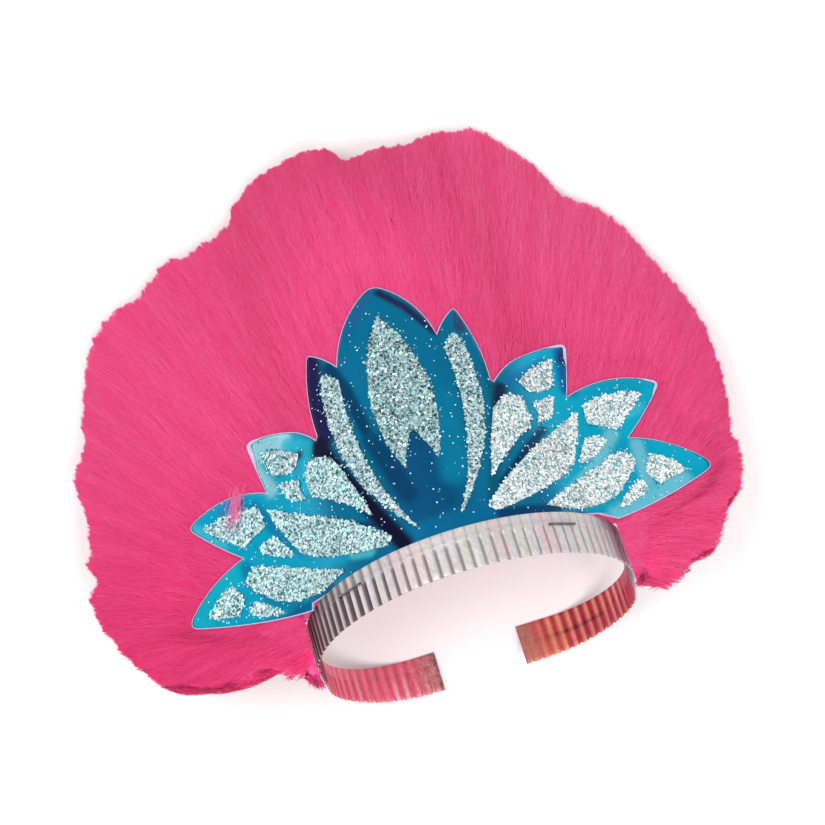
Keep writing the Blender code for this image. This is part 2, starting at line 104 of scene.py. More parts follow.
SIDE_PATCHES = (
    # name, then rows of x, z, bulge
    ("stripe", ((31.5, 96.5, 0.4), (25.5, 89.5, -6.3), (10.2, 7.0, 8.9), (34.8, 86.0, 1.0))),
    ("first_inner", ((47.5, 62.3, 1.0), (38.0, 54.5, 0.4), (28.0, 21.0, -0.8), (52.3, 45.5, 0.8),
                     (53.0, 58.0, 0.8))),
    ("first_upper", ((72.0, 82.3, 1.5), (54.0, 69.5, 0.4), (57.5, 64.0, 0.2), (67.5, 66.5, 0.8))),
    ("first_wedge", ((67.5, 62.4, 0.5), (57.0, 57.5, 0.0), (58.2, 53.0, 0.0), (56.2, 47.5, 0.2),
                     (63.5, 51.5, 0.4))),
    ("second_inner", ((76.0, 54.0, 1.3), (22.5, 8.0, 0.8), (27.5, 4.8, 3.3), (66.5, 26.5, 0.8))),
    ("second_outer", ((80.0, 56.8, 0.0), (79.2, 46.8, -0.5), (92.0, 42.2, 0.5), (109.0, 60.0, 2.5))),
    ("second_wedge", ((76.0, 39.6, 0.3), (69.0, 26.0, 0.5), (82.5, 33.6, 0.4), (84.8, 38.3, 0.5))),
    ("third_inner", ((48.0, 4.6, 3.0), (80.0, 8.0, 1.0), (95.6, 24.5, 1.2), (89.5, 30.8, 1.5))),
    ("third_outer", ((98.5, 18.5, 0.3), (103.5, 12.0, 0.5), (117.5, 17.2, 1.8), (103.0, 27.0, 0.5))),
    ("third_small", ((93.3, 14.6, 0.6), (80.5, 2.2, 0.6), (95.8, 8.6, 0.3), (97.2, 12.2, 0.6))),
)
PLATE_TAB = ((-69.0, 0.4), (-57.0, 0.4), (-57.0, -12.0), (57.0, -12.0), (57.0, 0.4), (69.0, 0.4))
CENTRE_PATCH = ((0.0, 113.5, 10.0), (-7.8, 36.0, -0.8), (0.0, 54.0, -0.8), (7.8, 36.0, 10.0))

PLUME_RIM = (
    # angle in degrees, radius
    (-50.0, 123.0), (-48.0, 132.0), (-42.5, 136.5), (-35.0, 147.0), (-25.0, 147.0), (-16.0, 151.0),
    (6.0, 152.0), (20.0, 155.0), (35.0, 159.0), (45.0, 157.0), (54.0, 165.0), (66.0, 175.0), (76.0, 162.0),
    (87.0, 155.0), (98.0, 166.0), (112.0, 159.0), (124.0, 172.5), (140.0, 183.0), (153.0, 178.0),
    (175.0, 173.5), (196.0, 171.5), (206.0, 159.5), (216.0, 135.0), (223.0, 126.0), (230.0, 123.5),
)
SHOULDER_ANGLES = (-20.0, 200.0)

# The rays of the plume: how many are kept, and over how many of them the place where they leave the plate
# is widened and smoothed. It lies this far past the outline, and at most at this share of the ray.
RAYS = 1401
WIDENING = 25
SMOOTHING = 60
LEAVE_MARGIN = 5.0
LATEST_LEAVE = 0.86

# The plume's section: how round each lock is, how full the back starts and rises, and where it begins to
# turn in to the rim.
LOCK_ROUNDNESS = 0.7
FOOT_FULLNESS = 0.06
FULLNESS_LEAN = 0.85
FULLNESS_ROUNDNESS = 0.6
RIM_TURN = 0.93
TIP_SINK = 0.15
REACH = -1.2
REACH_SPREAD = 1.1

# How far the down in front of the lobes closes in on the band and hangs lower there, and how soon that fades.
LOBE_PULL = 5.0
LOBE_HANG = 3.0
LOBE_FADE = 9.0
ON_LOBE = (0.0, 6.0)
LOBE_END = (14.0, 30.0)

# How far the down's own ragged edge stands out from the solids' rim, or falls short of it.
DOWN_EDGE = (
    # angle in degrees, distance
    (-50.0, -0.5), (-47.0, 1.5), (-42.0, 0.0), (-38.0, -4.0), (-34.0, -2.5), (-26.0, -2.0), (-22.0, 1.5),
    (-16.0, -1.0), (-10.0, -5.0), (-4.0, -3.8), (4.0, -2.0), (10.0, -0.5), (20.0, -2.0), (30.0, -4.2),
    (36.0, -2.2), (41.0, -0.3), (50.0, -5.5), (56.0, -2.5), (62.0, -4.3), (68.0, -5.8), (73.0, 0.0),
    (78.0, -4.0), (82.0, -2.5), (88.0, -4.8), (91.0, 1.0), (98.0, -1.5), (105.0, 3.0), (109.0, 2.5),
    (112.0, -2.2), (117.0, -5.0), (121.0, -8.8), (125.0, -4.5), (132.0, -6.8), (136.0, -3.0), (144.0, -0.5),
    (152.0, 0.0), (156.0, -4.0), (162.0, 1.0), (169.0, -3.8), (174.0, -3.5), (177.0, -0.5), (180.0, -4.0),
    (182.0, 3.0), (187.0, 3.0), (192.0, 0.0), (198.0, -3.0), (203.0, 1.8), (207.0, -5.0), (212.0, 0.0),
    (218.0, -7.0), (223.0, -1.0), (227.0, -3.0), (230.0, -0.5),
)

# The foil's own tone, where it turns from teal on the middle petals to cyan on the wings.
TEAL = (0, 110, 148)
CYAN = (0, 164, 196)
TEAL_TO_CYAN_X = (44.0, 66.0)

# Painted shade and painted reflections on the foil: strokes between places on the plate.
FOIL_PAINTED_LIGHT = (
    # places x and z, half width, colour, strength
    # The centre petal.
    (((-7.0, 44.0), (-3.0, 16.0)), 17.0, (0, 70, 114), 0.85),
    (((15.0, 62.0), (11.0, 28.0)), 7.0, (0, 124, 160), 0.8),
    (((-26.0, 3.0), (26.0, 5.0)), 6.0, (0, 104, 150), 0.7),
    (((2.0, 125.0), (12.0, 114.0), (22.0, 98.0)), 2.0, (34, 20, 66), 0.9),
    (((-2.0, 125.5), (-16.0, 112.0)), 1.8, (40, 90, 150), 0.6),
    # The narrow left petal.
    (((-38.5, 106.0), (-41.5, 90.0), (-42.0, 68.0)), 6.6, (30, 28, 76), 1.0),
    (((-30.0, 98.0), (-25.5, 84.0), (-22.0, 62.0)), 3.4, (0, 52, 92), 0.88),
    (((-21.0, 56.0), (-12.0, 24.0)), 4.6, (0, 52, 94), 0.75),
    # Painted shade in the creases beside it.
    (((-45.5, 66.0), (-38.0, 44.0), (-27.0, 18.0), (-20.0, 2.0)), 4.6, (10, 11, 44), 1.0),
    (((-55.0, 68.5), (-44.0, 63.0)), 2.4, (12, 16, 48), 0.95),
    (((-48.0, 27.0), (-32.0, 16.0)), 2.2, (8, 40, 84), 0.85),
    # The narrow right petal.
    (((35.0, 105.0), (33.5, 99.0)), 3.0, (52, 50, 96), 0.7),
    (((40.5, 84.0), (38.0, 50.0), (24.0, 12.0)), 2.6, (0, 84, 106), 0.8),
    # Painted shade in the creases beside it.
    (((43.0, 66.0), (40.0, 58.0), (33.0, 38.0)), 3.0, (14, 26, 62), 0.92),
    (((30.0, 17.0), (40.0, 27.0), (56.0, 44.0)), 2.2, (6, 40, 84), 0.9),
    # The foot on the right.
    (((26.0, 2.5), (50.0, 2.0)), 3.0, (0, 52, 98), 0.85),
    (((54.0, 1.5), (70.0, 0.0)), 2.4, (20, 120, 160), 0.6),
    # The right wing.
    (((77.0, 85.0), (74.5, 66.0)), 4.6, (0, 86, 150), 0.92),
    (((78.5, 86.5), (76.0, 82.0)), 2.6, (44, 24, 76), 0.8),
    (((66.0, 80.5), (48.0, 69.0)), 2.6, (0, 104, 160), 0.75),
    (((111.0, 60.0), (96.0, 42.0)), 6.0, (0, 172, 204), 0.9),
    (((108.0, 64.0), (84.0, 60.5)), 3.4, (0, 160, 196), 0.8),
    (((122.0, 22.0), (108.0, 32.0)), 5.0, (0, 172, 206), 0.95),
    # Pale reflections on the right wing.
    (((87.0, 40.0), (74.0, 24.0), (56.0, 8.0)), 3.4, (120, 202, 218), 0.8),
    (((112.0, 12.0), (96.0, 5.0), (78.0, -1.0)), 5.4, (112, 200, 218), 0.85),
    (((97.0, 33.0), (96.0, 14.0)), 3.4, (120, 202, 218), 0.75),
    (((84.0, 46.0), (104.0, 52.0)), 3.0, (70, 190, 212), 0.6),
    # The left wing.
    (((-79.0, 84.0), (-62.0, 82.0)), 6.0, (150, 212, 220), 0.9),
    (((-81.0, 82.0), (-74.0, 62.0)), 4.0, (150, 208, 216), 0.85),
    (((-60.0, 78.0), (-50.0, 70.0), (-57.0, 52.0)), 3.0, (20, 170, 196), 0.8),
    (((-114.0, 64.0), (-80.0, 61.0)), 5.0, (0, 160, 196), 0.8),
    (((-99.0, 64.0), (-93.0, 66.5)), 3.0, (70, 116, 190), 0.75),
    (((-117.0, 61.0), (-104.0, 50.0)), 5.0, (60, 186, 206), 0.85),
    (((-84.0, 58.0), (-76.0, 42.0), (-66.0, 26.0)), 3.6, (0, 120, 166), 0.8),
    (((-66.0, 24.0), (-48.0, 10.0)), 3.2, (0, 150, 186), 0.8),
    (((-96.0, 32.0), (-88.0, 14.0), (-76.0, 2.0)), 3.6, (0, 118, 160), 0.8),
    (((-124.0, 16.0), (-104.0, 32.0)), 6.0, (10, 176, 200), 0.9),
    (((-112.0, 4.0), (-84.0, -2.0), (-58.0, 0.0)), 4.4, (0, 92, 140), 0.92),
    # The foot on the left.
    (((-43.0, 9.0), (-36.0, 6.0)), 3.0, (70, 196, 206), 0.85),
)

# A stroke is at its full strength up to the first share of its half width, and is gone at the second.
STROKE_CORE = 0.45
STROKE_FADE = 1.35

# How far the foil stops short of the pale edge: more at three petal tips.
FOIL_INSET = 0.42
WIDE_INSETS = (
    # x, z, reach, inset
    (78.0, 87.0, 9.0, 1.5),
    (-82.0, 86.0, 13.0, 2.2),
    (115.5, 63.5, 8.0, 1.4),
)


def linear(colour):
    """A colour given as 0 to 255 display values, as the shader's linear values."""
    share = np.asarray(colour, float) / 255.0
    return np.where(share <= 0.04045, share / 12.92, ((share + 0.055) / 1.055) ** 2.4)


def to_world(points):
    """Points as worn, in millimetres, where they lie in the scene, in metres."""
    return (np.asarray(points, float) * MM) @ POSE_TURN.T + POSE_PLACE


def directions_to_world(directions):
    return np.asarray(directions, float) @ POSE_TURN.T


def smoothstep(x, low, high):
    t = np.clip((x - low) / (high - low), 0.0, 1.0)
    return t * t * (3.0 - 2.0 * t)


def unit(vectors):
    return vectors / np.maximum(np.linalg.norm(vectors, axis=-1, keepdims=True), 1e-9)


# Materials

# How much of the light on a fibre passes through it.
THROUGH_SHARE = 0.4


class Shader:
    """A node material, with short ways to add nodes and to join them."""

    def __init__(self, name):
        self.material = bpy.data.materials.new(name)
        self.material.use_nodes = True
        self.tree = self.material.node_tree
        self.main = self.tree.nodes["Principled BSDF"]
        self.end = self.tree.nodes["Material Output"]

    def node(self, kind, values=None, **settings):
        made = self.tree.nodes.new(kind)
        for key, value in settings.items():
            setattr(made, key, value)
        for key, value in (values or {}).items():
            made.inputs[key].default_value = value
        return made

    def join(self, output, target):
        self.tree.links.new(output, target)

    def finish(self, colour, roughness, grain=None, strength=0.0, distance=0.0, **values):
        """Joins the colour and the roughness, sets plain values, and lets the grain raise the surface."""
        self.join(colour, self.main.inputs["Base Color"])
        if roughness:
            self.join(roughness, self.main.inputs["Roughness"])
        for key, value in values.items():
            self.main.inputs[key.replace("_", " ")].default_value = value
        if grain:
            bump = self.node("ShaderNodeBump", {"Strength": strength, "Distance": distance})
            self.join(grain, bump.inputs["Height"])
            self.join(bump.outputs["Normal"], self.main.inputs["Normal"])
        return self.material

    def noise(self, scale, detail, roughness, stretch=None):
        place = self.node("ShaderNodeTexCoord").outputs["Object"]
        if stretch:
            mapping = self.node("ShaderNodeMapping", {"Scale": stretch})
            self.join(place, mapping.inputs["Vector"])
            place = mapping.outputs["Vector"]
        made = self.node("ShaderNodeTexNoise", {"Scale": scale, "Detail": detail, "Roughness": roughness})
        self.join(place, made.inputs["Vector"])
        return made.outputs["Fac"]

    def cells(self, scale):
        """A colour of its own for each cell, as three separate values."""
        made = self.node("ShaderNodeTexVoronoi", {"Scale": scale})
        self.join(self.node("ShaderNodeTexCoord").outputs["Object"], made.inputs["Vector"])
        flat = self.node("ShaderNodeSeparateColor")
        self.join(made.outputs["Color"], flat.inputs["Color"])
        return flat.outputs

    def ramp(self, factor, stops):
        made = self.node("ShaderNodeValToRGB")
        elements = made.color_ramp.elements
        while len(elements) < len(stops):
            elements.new(0.5)
        for element, (place, colour) in zip(elements, stops):
            element.position = place
            element.color = (*colour, 1.0)
        self.join(factor, made.inputs["Fac"])
        return made.outputs["Color"]

    def shaded(self, share, colour, factor, low, dark, high):
        """The colour, multiplied by a share of a ramp from dark to white."""
        made = self.node("ShaderNodeMix", data_type="RGBA", blend_type="MULTIPLY")
        made.inputs[0].default_value = share
        self.join(colour, made.inputs[6])
        self.join(self.ramp(factor, ((low, dark), (high, (1.0, 1.0, 1.0)))), made.inputs[7])
        return made.outputs[2]

    def span(self, factor, low, high):
        made = self.node("ShaderNodeMapRange", {"To Min": low, "To Max": high})
        self.join(factor, made.inputs["Value"])
        return made.outputs["Result"]

    def attribute(self, name, output="Color"):
        return self.node("ShaderNodeAttribute", attribute_name=name).outputs[output]


def display_stops(*rows):
    """Stops for a ramp from rows of a place and a colour of display values."""
    return [(place, tuple(linear(colour))) for place, colour in rows]


def band_material():
    made = Shader("crimped_silver_foil")
    grain = made.noise(900.0, 4.0, 0.6)
    cloud = made.noise(90.0, 3.0, 0.5)
    colour = made.shaded(0.3, made.attribute("colour_and_painted_light"), cloud, 0.3, (0.72, 0.7, 0.7), 0.7)
    colour = made.shaded(0.3, colour, grain, 0.35, (0.62, 0.62, 0.62), 0.6)
    return made.finish(colour, made.span(grain, 0.32, 0.5), grain, 0.25, 0.00012,
                       Metallic=0.3, Specular_IOR_Level=0.35)


def foil_material():
    made = Shader("teal_foil")
    cloud = made.noise(45.0, 4.0, 0.55)
    colour = made.shaded(0.3, made.attribute("colour_and_painted_light"), cloud, 0.3, (0.66, 0.72, 0.76), 0.66)
    return made.finish(colour, made.span(cloud, 0.22, 0.38), made.noise(1600.0, 3.0, 0.6), 0.12, 0.00008,
                       Metallic=0.7, Specular_IOR_Level=0.2)


def card_material():
    made = Shader("pale_card_edge")
    fibres = made.noise(1400.0, 4.0, 0.65)
    colour = made.ramp(fibres, display_stops((0.3, (150, 150, 190)), (0.7, (206, 200, 222))))
    return made.finish(colour, made.span(fibres, 0.4, 0.65), fibres, 0.2, 0.0001)


def bed_material():
    made = Shader("glitter_bed")
    # Cells from dark teal to white: painted reflections, each as bright as a grain of glitter at its own tilt.
    cells = made.cells(850.0)
    stops = display_stops((0.0, (70, 120, 124)), (0.3, (160, 176, 176)), (0.6, (214, 222, 220)))
    colour = made.ramp(cells["Red"], (*stops, (1.0, (0.92, 0.93, 0.92))))
    return made.finish(colour, made.span(cells["Green"], 0.2, 0.5), cells["Blue"], 0.7, 0.0004, Metallic=0.5)


def flake_material():
    made = Shader("glitter_flakes")
    grain = made.noise(2600.0, 2.0, 0.5)
    colour = made.shaded(0.2, made.attribute("colour_and_painted_light"), grain, 0.35, (0.75, 0.78, 0.8), 0.65)
    return made.finish(colour, made.span(grain, 0.12, 0.3), Metallic=0.35)


def staple_material():
    made = Shader("staple_steel")
    grain = made.noise(2200.0, 3.0, 0.6, (1.0, 0.2, 1.0))
    colour = made.ramp(grain, ((0.3, (0.1, 0.09, 0.1)), (0.7, (0.3, 0.28, 0.3))))
    return made.finish(colour, made.span(grain, 0.28, 0.5), grain, 0.2, 0.0001, Metallic=1.0)


def down_material(name, core=False):
    """Dyed down: matte, with light passing through its fibres."""
    made = Shader(name)
    if core:
        shade = made.span(made.noise(60.0, 4.0, 0.6), 0.1, 0.7)
    else:
        shade = made.attribute("shade", "Fac")
    fine = made.noise(500.0, 2.0, 0.5)
    dyed = made.ramp(shade, display_stops(
        (0.0, (232, 42, 117)), (0.35, (240, 75, 141)), (0.6, (246, 99, 159)), (1.0, (252, 148, 193))))
    colour = made.shaded(0.18, dyed, fine, 0.3, (0.8, 0.66, 0.72), 0.7)
    made.finish(colour, made.span(fine, 0.65, 0.9), fine if core else None, 0.5, 0.001,
                Specular_IOR_Level=0.15)
    if not core:
        through = made.node("ShaderNodeBsdfTranslucent")
        made.join(colour, through.inputs["Color"])
        both = made.node("ShaderNodeMixShader", {"Fac": THROUGH_SHARE})
        made.join(made.main.outputs["BSDF"], both.inputs[1])
        made.join(through.outputs["BSDF"], both.inputs[2])
        made.join(both.outputs["Shader"], made.end.inputs["Surface"])
    return made.material


def floor_material():
    made = Shader("pale_floor")
    pale = made.ramp(made.noise(3.0, 3.0, 0.5), ((0.2, (0.93, 0.93, 0.93)), (0.8, (0.95, 0.95, 0.95))))
    return made.finish(pale, None, Roughness=0.95, Specular_IOR_Level=0.1)


# Meshes


def outline_edges(outline):
    """The two ends of each edge of a closed outline."""
    ring = np.array(outline)
    return zip(ring, np.roll(ring, -1, axis=0))


def distance_to_edge(points, start, end):
    way = end - start
    t = np.clip(((points - start) @ way) / (way @ way), 0.0, 1.0)
    return np.linalg.norm(points - start - t[:, None] * way, axis=1)


def tube(count, ring):
    """The quads between neighbouring rings of points, for count rings of the same size."""
    start = np.arange(count - 1)[:, None] * ring
    around = np.arange(ring)[None, :]
    following = (around + 1) % ring
    corners = (start + around, start + following, start + following + ring, start + around + ring)
    return np.stack(corners, axis=-1).reshape(-1, 4)


def mesh_object(name, points, faces, material, smooth=True, point_colours=None, point_values=None,
                normals=None):
    """A piece from world points and from rows of point numbers, each row block with one number of corners."""
    mesh = bpy.data.meshes.new(name)
    points = np.asarray(points, np.float32)
    mesh.vertices.add(len(points))
    mesh.vertices.foreach_set("co", points.ravel())
    blocks = [np.asarray(block, np.int32) for block in faces if len(block)]
    sizes = np.concatenate([np.full(len(block), block.shape[1], np.int32) for block in blocks])
    corners = np.concatenate([block.ravel() for block in blocks])
    mesh.loops.add(len(corners))
    mesh.loops.foreach_set("vertex_index", corners)
    mesh.polygons.add(len(sizes))
    starts = np.concatenate([[0], np.cumsum(sizes)[:-1]]).astype(np.int32)
    mesh.polygons.foreach_set("loop_start", starts)
    mesh.polygons.foreach_set("loop_total", sizes)
    mesh.update(calc_edges=True)
    mesh.validate()
    mesh.polygons.foreach_set("use_smooth", np.full(len(mesh.polygons), smooth))
    if point_colours is not None:
        held = mesh.attributes.new("colour_and_painted_light", "FLOAT_COLOR", "POINT")
        rows = np.concatenate([point_colours, np.ones((len(points), 1))], axis=1)
        held.data.foreach_set("color", rows.astype(np.float32).ravel())
    if point_values is not None:
        held = mesh.attributes.new("shade", "FLOAT", "POINT")
        held.data.foreach_set("value", np.asarray(point_values, np.float32))
    if normals is not None:
        mesh.normals_split_custom_set_from_vertices(normals.astype(np.float32))
    mesh.materials.append(material)
    obj = bpy.data.objects.new(name, mesh)
    bpy.context.scene.collection.objects.link(obj)
    return obj


def place(obj, slot, *nodes):
    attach(obj, "root")
    if nodes:
        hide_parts(*nodes)


# The plate's shape

# The length of the chords in the patches', the petals' and the tab's outlines, and the steps of a rounded
# corner. Then the spacing of the rows of places inside an outline, and how far these stay off its rim, both
# as shares of the step between two places.
PATCH_STEP = 1.2
PETAL_STEP = 1.6
TAB_STEP = 3.0
ROUNDING_STEPS = 6
ROW_SPACING = 0.87
RIM_CLEARANCE = 0.5


def arc_points(start, end, bulge, step):
    (x0, z0), (x1, z1) = start, end
    length = math.hypot(x1 - x0, z1 - z0)
    count = max(1, round(length / step))
    side_x, side_z = (z1 - z0) / length, (x0 - x1) / length
    points = []
    for index in range(count):
        t = index / count
        rise = 4.0 * bulge * t * (1.0 - t)
        points.append((x0 + (x1 - x0) * t + side_x * rise, z0 + (z1 - z0) * t + side_z * rise))
    return points


def outline_from_rows(rows):
    points = []
    for (x, z, bulge), following in zip(rows, rows[1:] + rows[:1]):
        points += arc_points((x, z), following[:2], bulge, PATCH_STEP)
    return points


def rounded(points, corner, radius):
    """The closed outline with the corner replaced by a soft curve that starts radius away on both sides."""
    index = min(range(len(points)), key=lambda i: math.dist(points[i], corner))
    count = len(points)

    def walk(direction):
        at, left, here = index, radius, points[index]
        while True:
            following = points[(at + direction) % count]
            span = math.dist(here, following)
            if span > left:
                share = left / span
                return tuple(a + (b - a) * share for a, b in zip(here, following)), at
            left -= span
            at += direction
            here = following

    before, last = walk(-1)
    after, first = walk(1)
    curve = []
    for step in range(ROUNDING_STEPS + 1):
        t = step / ROUNDING_STEPS
        curve.append(tuple((1 - t) ** 2 * a + 2 * t * (1 - t) * c + t * t * b
                           for a, c, b in zip(before, points[index], after)))
    return curve + [points[i % count] for i in range(first + 1, last + count)]


def shifted(points, side=1):
    return [(side * x + PATCH_LEAN, z) for x, z in points]


def plate_half(side):
    """The plate's outline on one side, from the foot of its lowest petal up to the centre."""
    corners = [(x + side * lean, z) for name, x, z, lean, bulge, rounding in PETAL_CORNERS]
    points = []
    for (name, x, z, lean, bulge, rounding), start, end in zip(PETAL_CORNERS, corners, corners[1:]):
        points += arc_points(start, end, bulge, PETAL_STEP)
    points.append(corners[-1])
    return [(side * x, z) for x, z in points]


def plate_outline():
    """The whole plate seen from the front: petals on both sides, and the tab that lies inside the band."""
    left = plate_half(-1)
    outline = plate_half(1) + left[-2::-1]
    for name, x, z, lean, bulge, rounding in PETAL_CORNERS:
        if rounding:
            for side in ((1, -1) if x else (1,)):
                outline = rounded(outline, (side * x + lean, z), rounding)
    index = min(range(len(outline)), key=lambda i: math.dist(outline[i], left[0]))
    tab = [point for ends in zip(PLATE_TAB, PLATE_TAB[1:]) for point in arc_points(*ends, 0.0, TAB_STEP)]
    return outline[: index + 1] + tab + [PLATE_TAB[-1]] + outline[index + 1:]


def card_depth(x):
    """How far back the plate's middle surface lies: round the band, then flaring out to the wings."""
    a = np.abs(x)
    wrapped = FRONT_RADIUS - np.sqrt(np.maximum(CARD_RADIUS**2 - a * a, 1.0))
    beyond = np.maximum(a - WRAP_X, 0.0)
    extra = (math.tan(WRAP_ANGLE) - WING_SLOPE) * FLARE_LENGTH
    flared = WRAP_Y + WING_SLOPE * beyond + extra * (1.0 - np.exp(-beyond / FLARE_LENGTH))
    return np.where(a < WRAP_X, wrapped, flared)


def card_angle(x):
    a = np.abs(x)
    wrapped = a / np.sqrt(np.maximum(CARD_RADIUS**2 - a * a, 1.0))
    fade = np.exp(-np.maximum(a - WRAP_X, 0.0) / FLARE_LENGTH)
    flared = WING_SLOPE + (math.tan(WRAP_ANGLE) - WING_SLOPE) * fade
    return np.arctan(np.copysign(np.where(a < WRAP_X, wrapped, flared), x))


def bend(x, z, forward):
    """The points at x and z of the plate, moved forward from its middle surface along its normal."""
    x, z = np.asarray(x, float), np.asarray(z, float)
    angle = card_angle(x)
    across, back = x + forward * np.sin(angle), card_depth(x) - forward * np.cos(angle)
    return np.stack([across, back, z + 0.0 * x], axis=-1)


def inset_outline(outline, amounts):
    """The closed outline moved inwards, by one amount or each point by its own."""
    ring = np.array(outline)
    before, after = np.roll(ring, 1, axis=0), np.roll(ring, -1, axis=0)
    first, second = unit(ring - before), unit(after - ring)
    inward = unit(np.stack([-(first + second)[:, 1], (first + second)[:, 0]], axis=1))
    lean = np.clip(np.abs(np.sum(np.stack([-first[:, 1], first[:, 0]], axis=1) * inward, axis=1)), 0.5, 1.0)
    area = np.sum(ring[:, 0] * after[:, 1] - after[:, 0] * ring[:, 1])
    return ring + inward * (np.sign(area) * np.asarray(amounts) / lean)[:, None]


def flat_cells(outline, step):
    """The outline filled with even triangles of about the step's size: places, faces and the rim's edges."""
    ring = np.array(outline)
    size = len(ring)
    low, high = ring.min(0), ring.max(0)
    rows = []
    for index, z in enumerate(np.arange(low[1] + step / 2, high[1], step * ROW_SPACING)):
        x = np.arange(low[0] + (index % 2) * step / 2, high[0], step)
        rows.append(np.stack([x, np.full(len(x), z)], axis=1))
    grid = np.concatenate(rows)
    grid = grid[inside(outline, grid[:, 0], grid[:, 1])]
    clear = np.min([distance_to_edge(grid, *edge) for edge in outline_edges(outline)], axis=0)
    places = np.concatenate([ring, grid[clear > RIM_CLEARANCE * step]])
    edges = [(i, (i + 1) % size) for i in range(size)]
    found = delaunay_2d_cdt([Vector(row) for row in places], edges, [], 1, 1e-6)
    places = np.array([tuple(row) for row in found[0]])
    faces = np.array(found[2])
    sides = [places[faces[:, k]] - places[faces[:, 0]] for k in (1, 2)]
    turn = sides[0][:, 0] * sides[1][:, 1] - sides[0][:, 1] * sides[1][:, 0]
    faces[turn < 0] = faces[turn < 0][:, ::-1]
    pairs = np.concatenate([faces[:, (0, 1)], faces[:, (1, 2)], faces[:, (2, 0)]])
    key = np.sort(pairs, axis=1) @ np.array([len(places), 1])
    values, first, counts = np.unique(key, return_index=True, return_counts=True)
    return places, faces, pairs[first[counts == 1]]


def sheet_points(places, faces, rim, front, back):
    """A closed sheet between two offsets from the plate's middle, each one number or one for each place."""
    count = len(places)
    points = np.concatenate([bend(places[:, 0], places[:, 1], front), bend(places[:, 0], places[:, 1], back)])
    walls = np.column_stack([rim[:, 1], rim[:, 0], rim[:, 0] + count, rim[:, 1] + count])
    return points, (np.concatenate([faces, faces[:, ::-1] + count]), walls)


def foil_colours_and_light(places):
    wing = smoothstep(np.abs(places[:, 0]), *TEAL_TO_CYAN_X)[:, None]
    colour_and_painted_light = linear(TEAL) * (1 - wing) + linear(CYAN) * wing
    # Painted shade and painted reflections, stroke by stroke, over the foil's own tone.
    for stroke, half_width, colour, strength in FOIL_PAINTED_LIGHT:
        nodes = np.array(stroke)
        nearest = np.min([distance_to_edge(places, *ends) for ends in zip(nodes, nodes[1:])], axis=0)
        soft = smoothstep(nearest, STROKE_CORE * half_width, STROKE_FADE * half_width)
        share = strength * (1.0 - soft)[:, None]
        colour_and_painted_light = colour_and_painted_light * (1 - share) + linear(colour) * share
    return colour_and_painted_light


# The sizes of the triangles in the card and in the foil, how far the card's face lies under the solid's, and
# how far the foil rises over that face, reaches into the card and ripples.
CARD_CELL = 4.0
FOIL_CELL = 1.4
CARD_SINK = 0.12
FOIL_RISE = 0.04
FOIL_SINK = 0.2
FOIL_RIPPLE = 0.04


def ripple(places):
    x, z = places[:, 0], places[:, 1]
    across, up = np.sin(x * 0.21 + 1.3 * np.sin(z * 0.11)), np.sin(z * 0.17 + 1.7 * np.sin(x * 0.09 + 1.0))
    return FOIL_RIPPLE * (across + up) / 2


def build_plate(outline):
    places, faces, rim = flat_cells(outline, CARD_CELL)
    points, blocks = sheet_points(places, faces, rim, CARD / 2 - CARD_SINK, -CARD / 2)
    card = mesh_object("plate_card", to_world(points), blocks, card_material(), smooth=False)
    place(card, "teal_foil", "plate")

    ring = np.array(outline)
    amounts = np.full(len(ring), FOIL_INSET)
    for x, z, reach, inset in WIDE_INSETS:
        near = 1.0 - smoothstep(np.hypot(ring[:, 0] - x, ring[:, 1] - z), 0.3 * reach, reach)
        amounts = np.maximum(amounts, FOIL_INSET + (inset - FOIL_INSET) * near)
    places, faces, rim = flat_cells(inset_outline(outline, amounts), FOIL_CELL)
    front = CARD / 2 + FOIL_RISE + ripple(places)
    points, blocks = sheet_points(places, faces, rim, front, CARD / 2 - FOIL_SINK)
    colours_and_painted_light = foil_colours_and_light(places)
    foil = mesh_object("plate_foil", to_world(points), blocks, foil_material(),
                       point_colours=np.concatenate([colours_and_painted_light, colours_and_painted_light]))
    place(foil, "teal_foil")


# Glitter


def inside(outline, x, z):
    found = np.zeros(len(x), bool)
    for (x0, z0), (x1, z1) in outline_edges(outline):
        if z0 == z1:
            continue
        crosses = (z0 > z) != (z1 > z)
        found ^= crosses & (x < x0 + (z - z0) * (x1 - x0) / (z1 - z0))
    return found


FLAKE_SIDES = 6
# Painted reflections on the silver glitter: each flake as bright as a small mirror at its own tilt, a few pink.
FLAKE_REFLECTIONS = (
    # share, colour
    (0.40, (240, 250, 248)),
    (0.20, (206, 222, 222)),
    (0.14, (150, 178, 182)),
    (0.10, (84, 124, 132)),
    (0.08, (24, 122, 140)),
    (0.05, (20, 66, 80)),
    (0.03, (232, 190, 206)),
)

# How much the painted reflections of a patch's flakes lean to the light or dark ones, and a tint over them all.
FLAKE_TONES = (
    # part of the patch's name, power, tint
    ("centre", 1.25, (0.52, 0.70, 0.72)),
    ("stripe", 1.1, (0.66, 0.82, 0.85)),
    ("right", 0.45, (0.98, 1.0, 1.0)),
    ("left", 0.85, (0.74, 0.98, 1.0)),
)


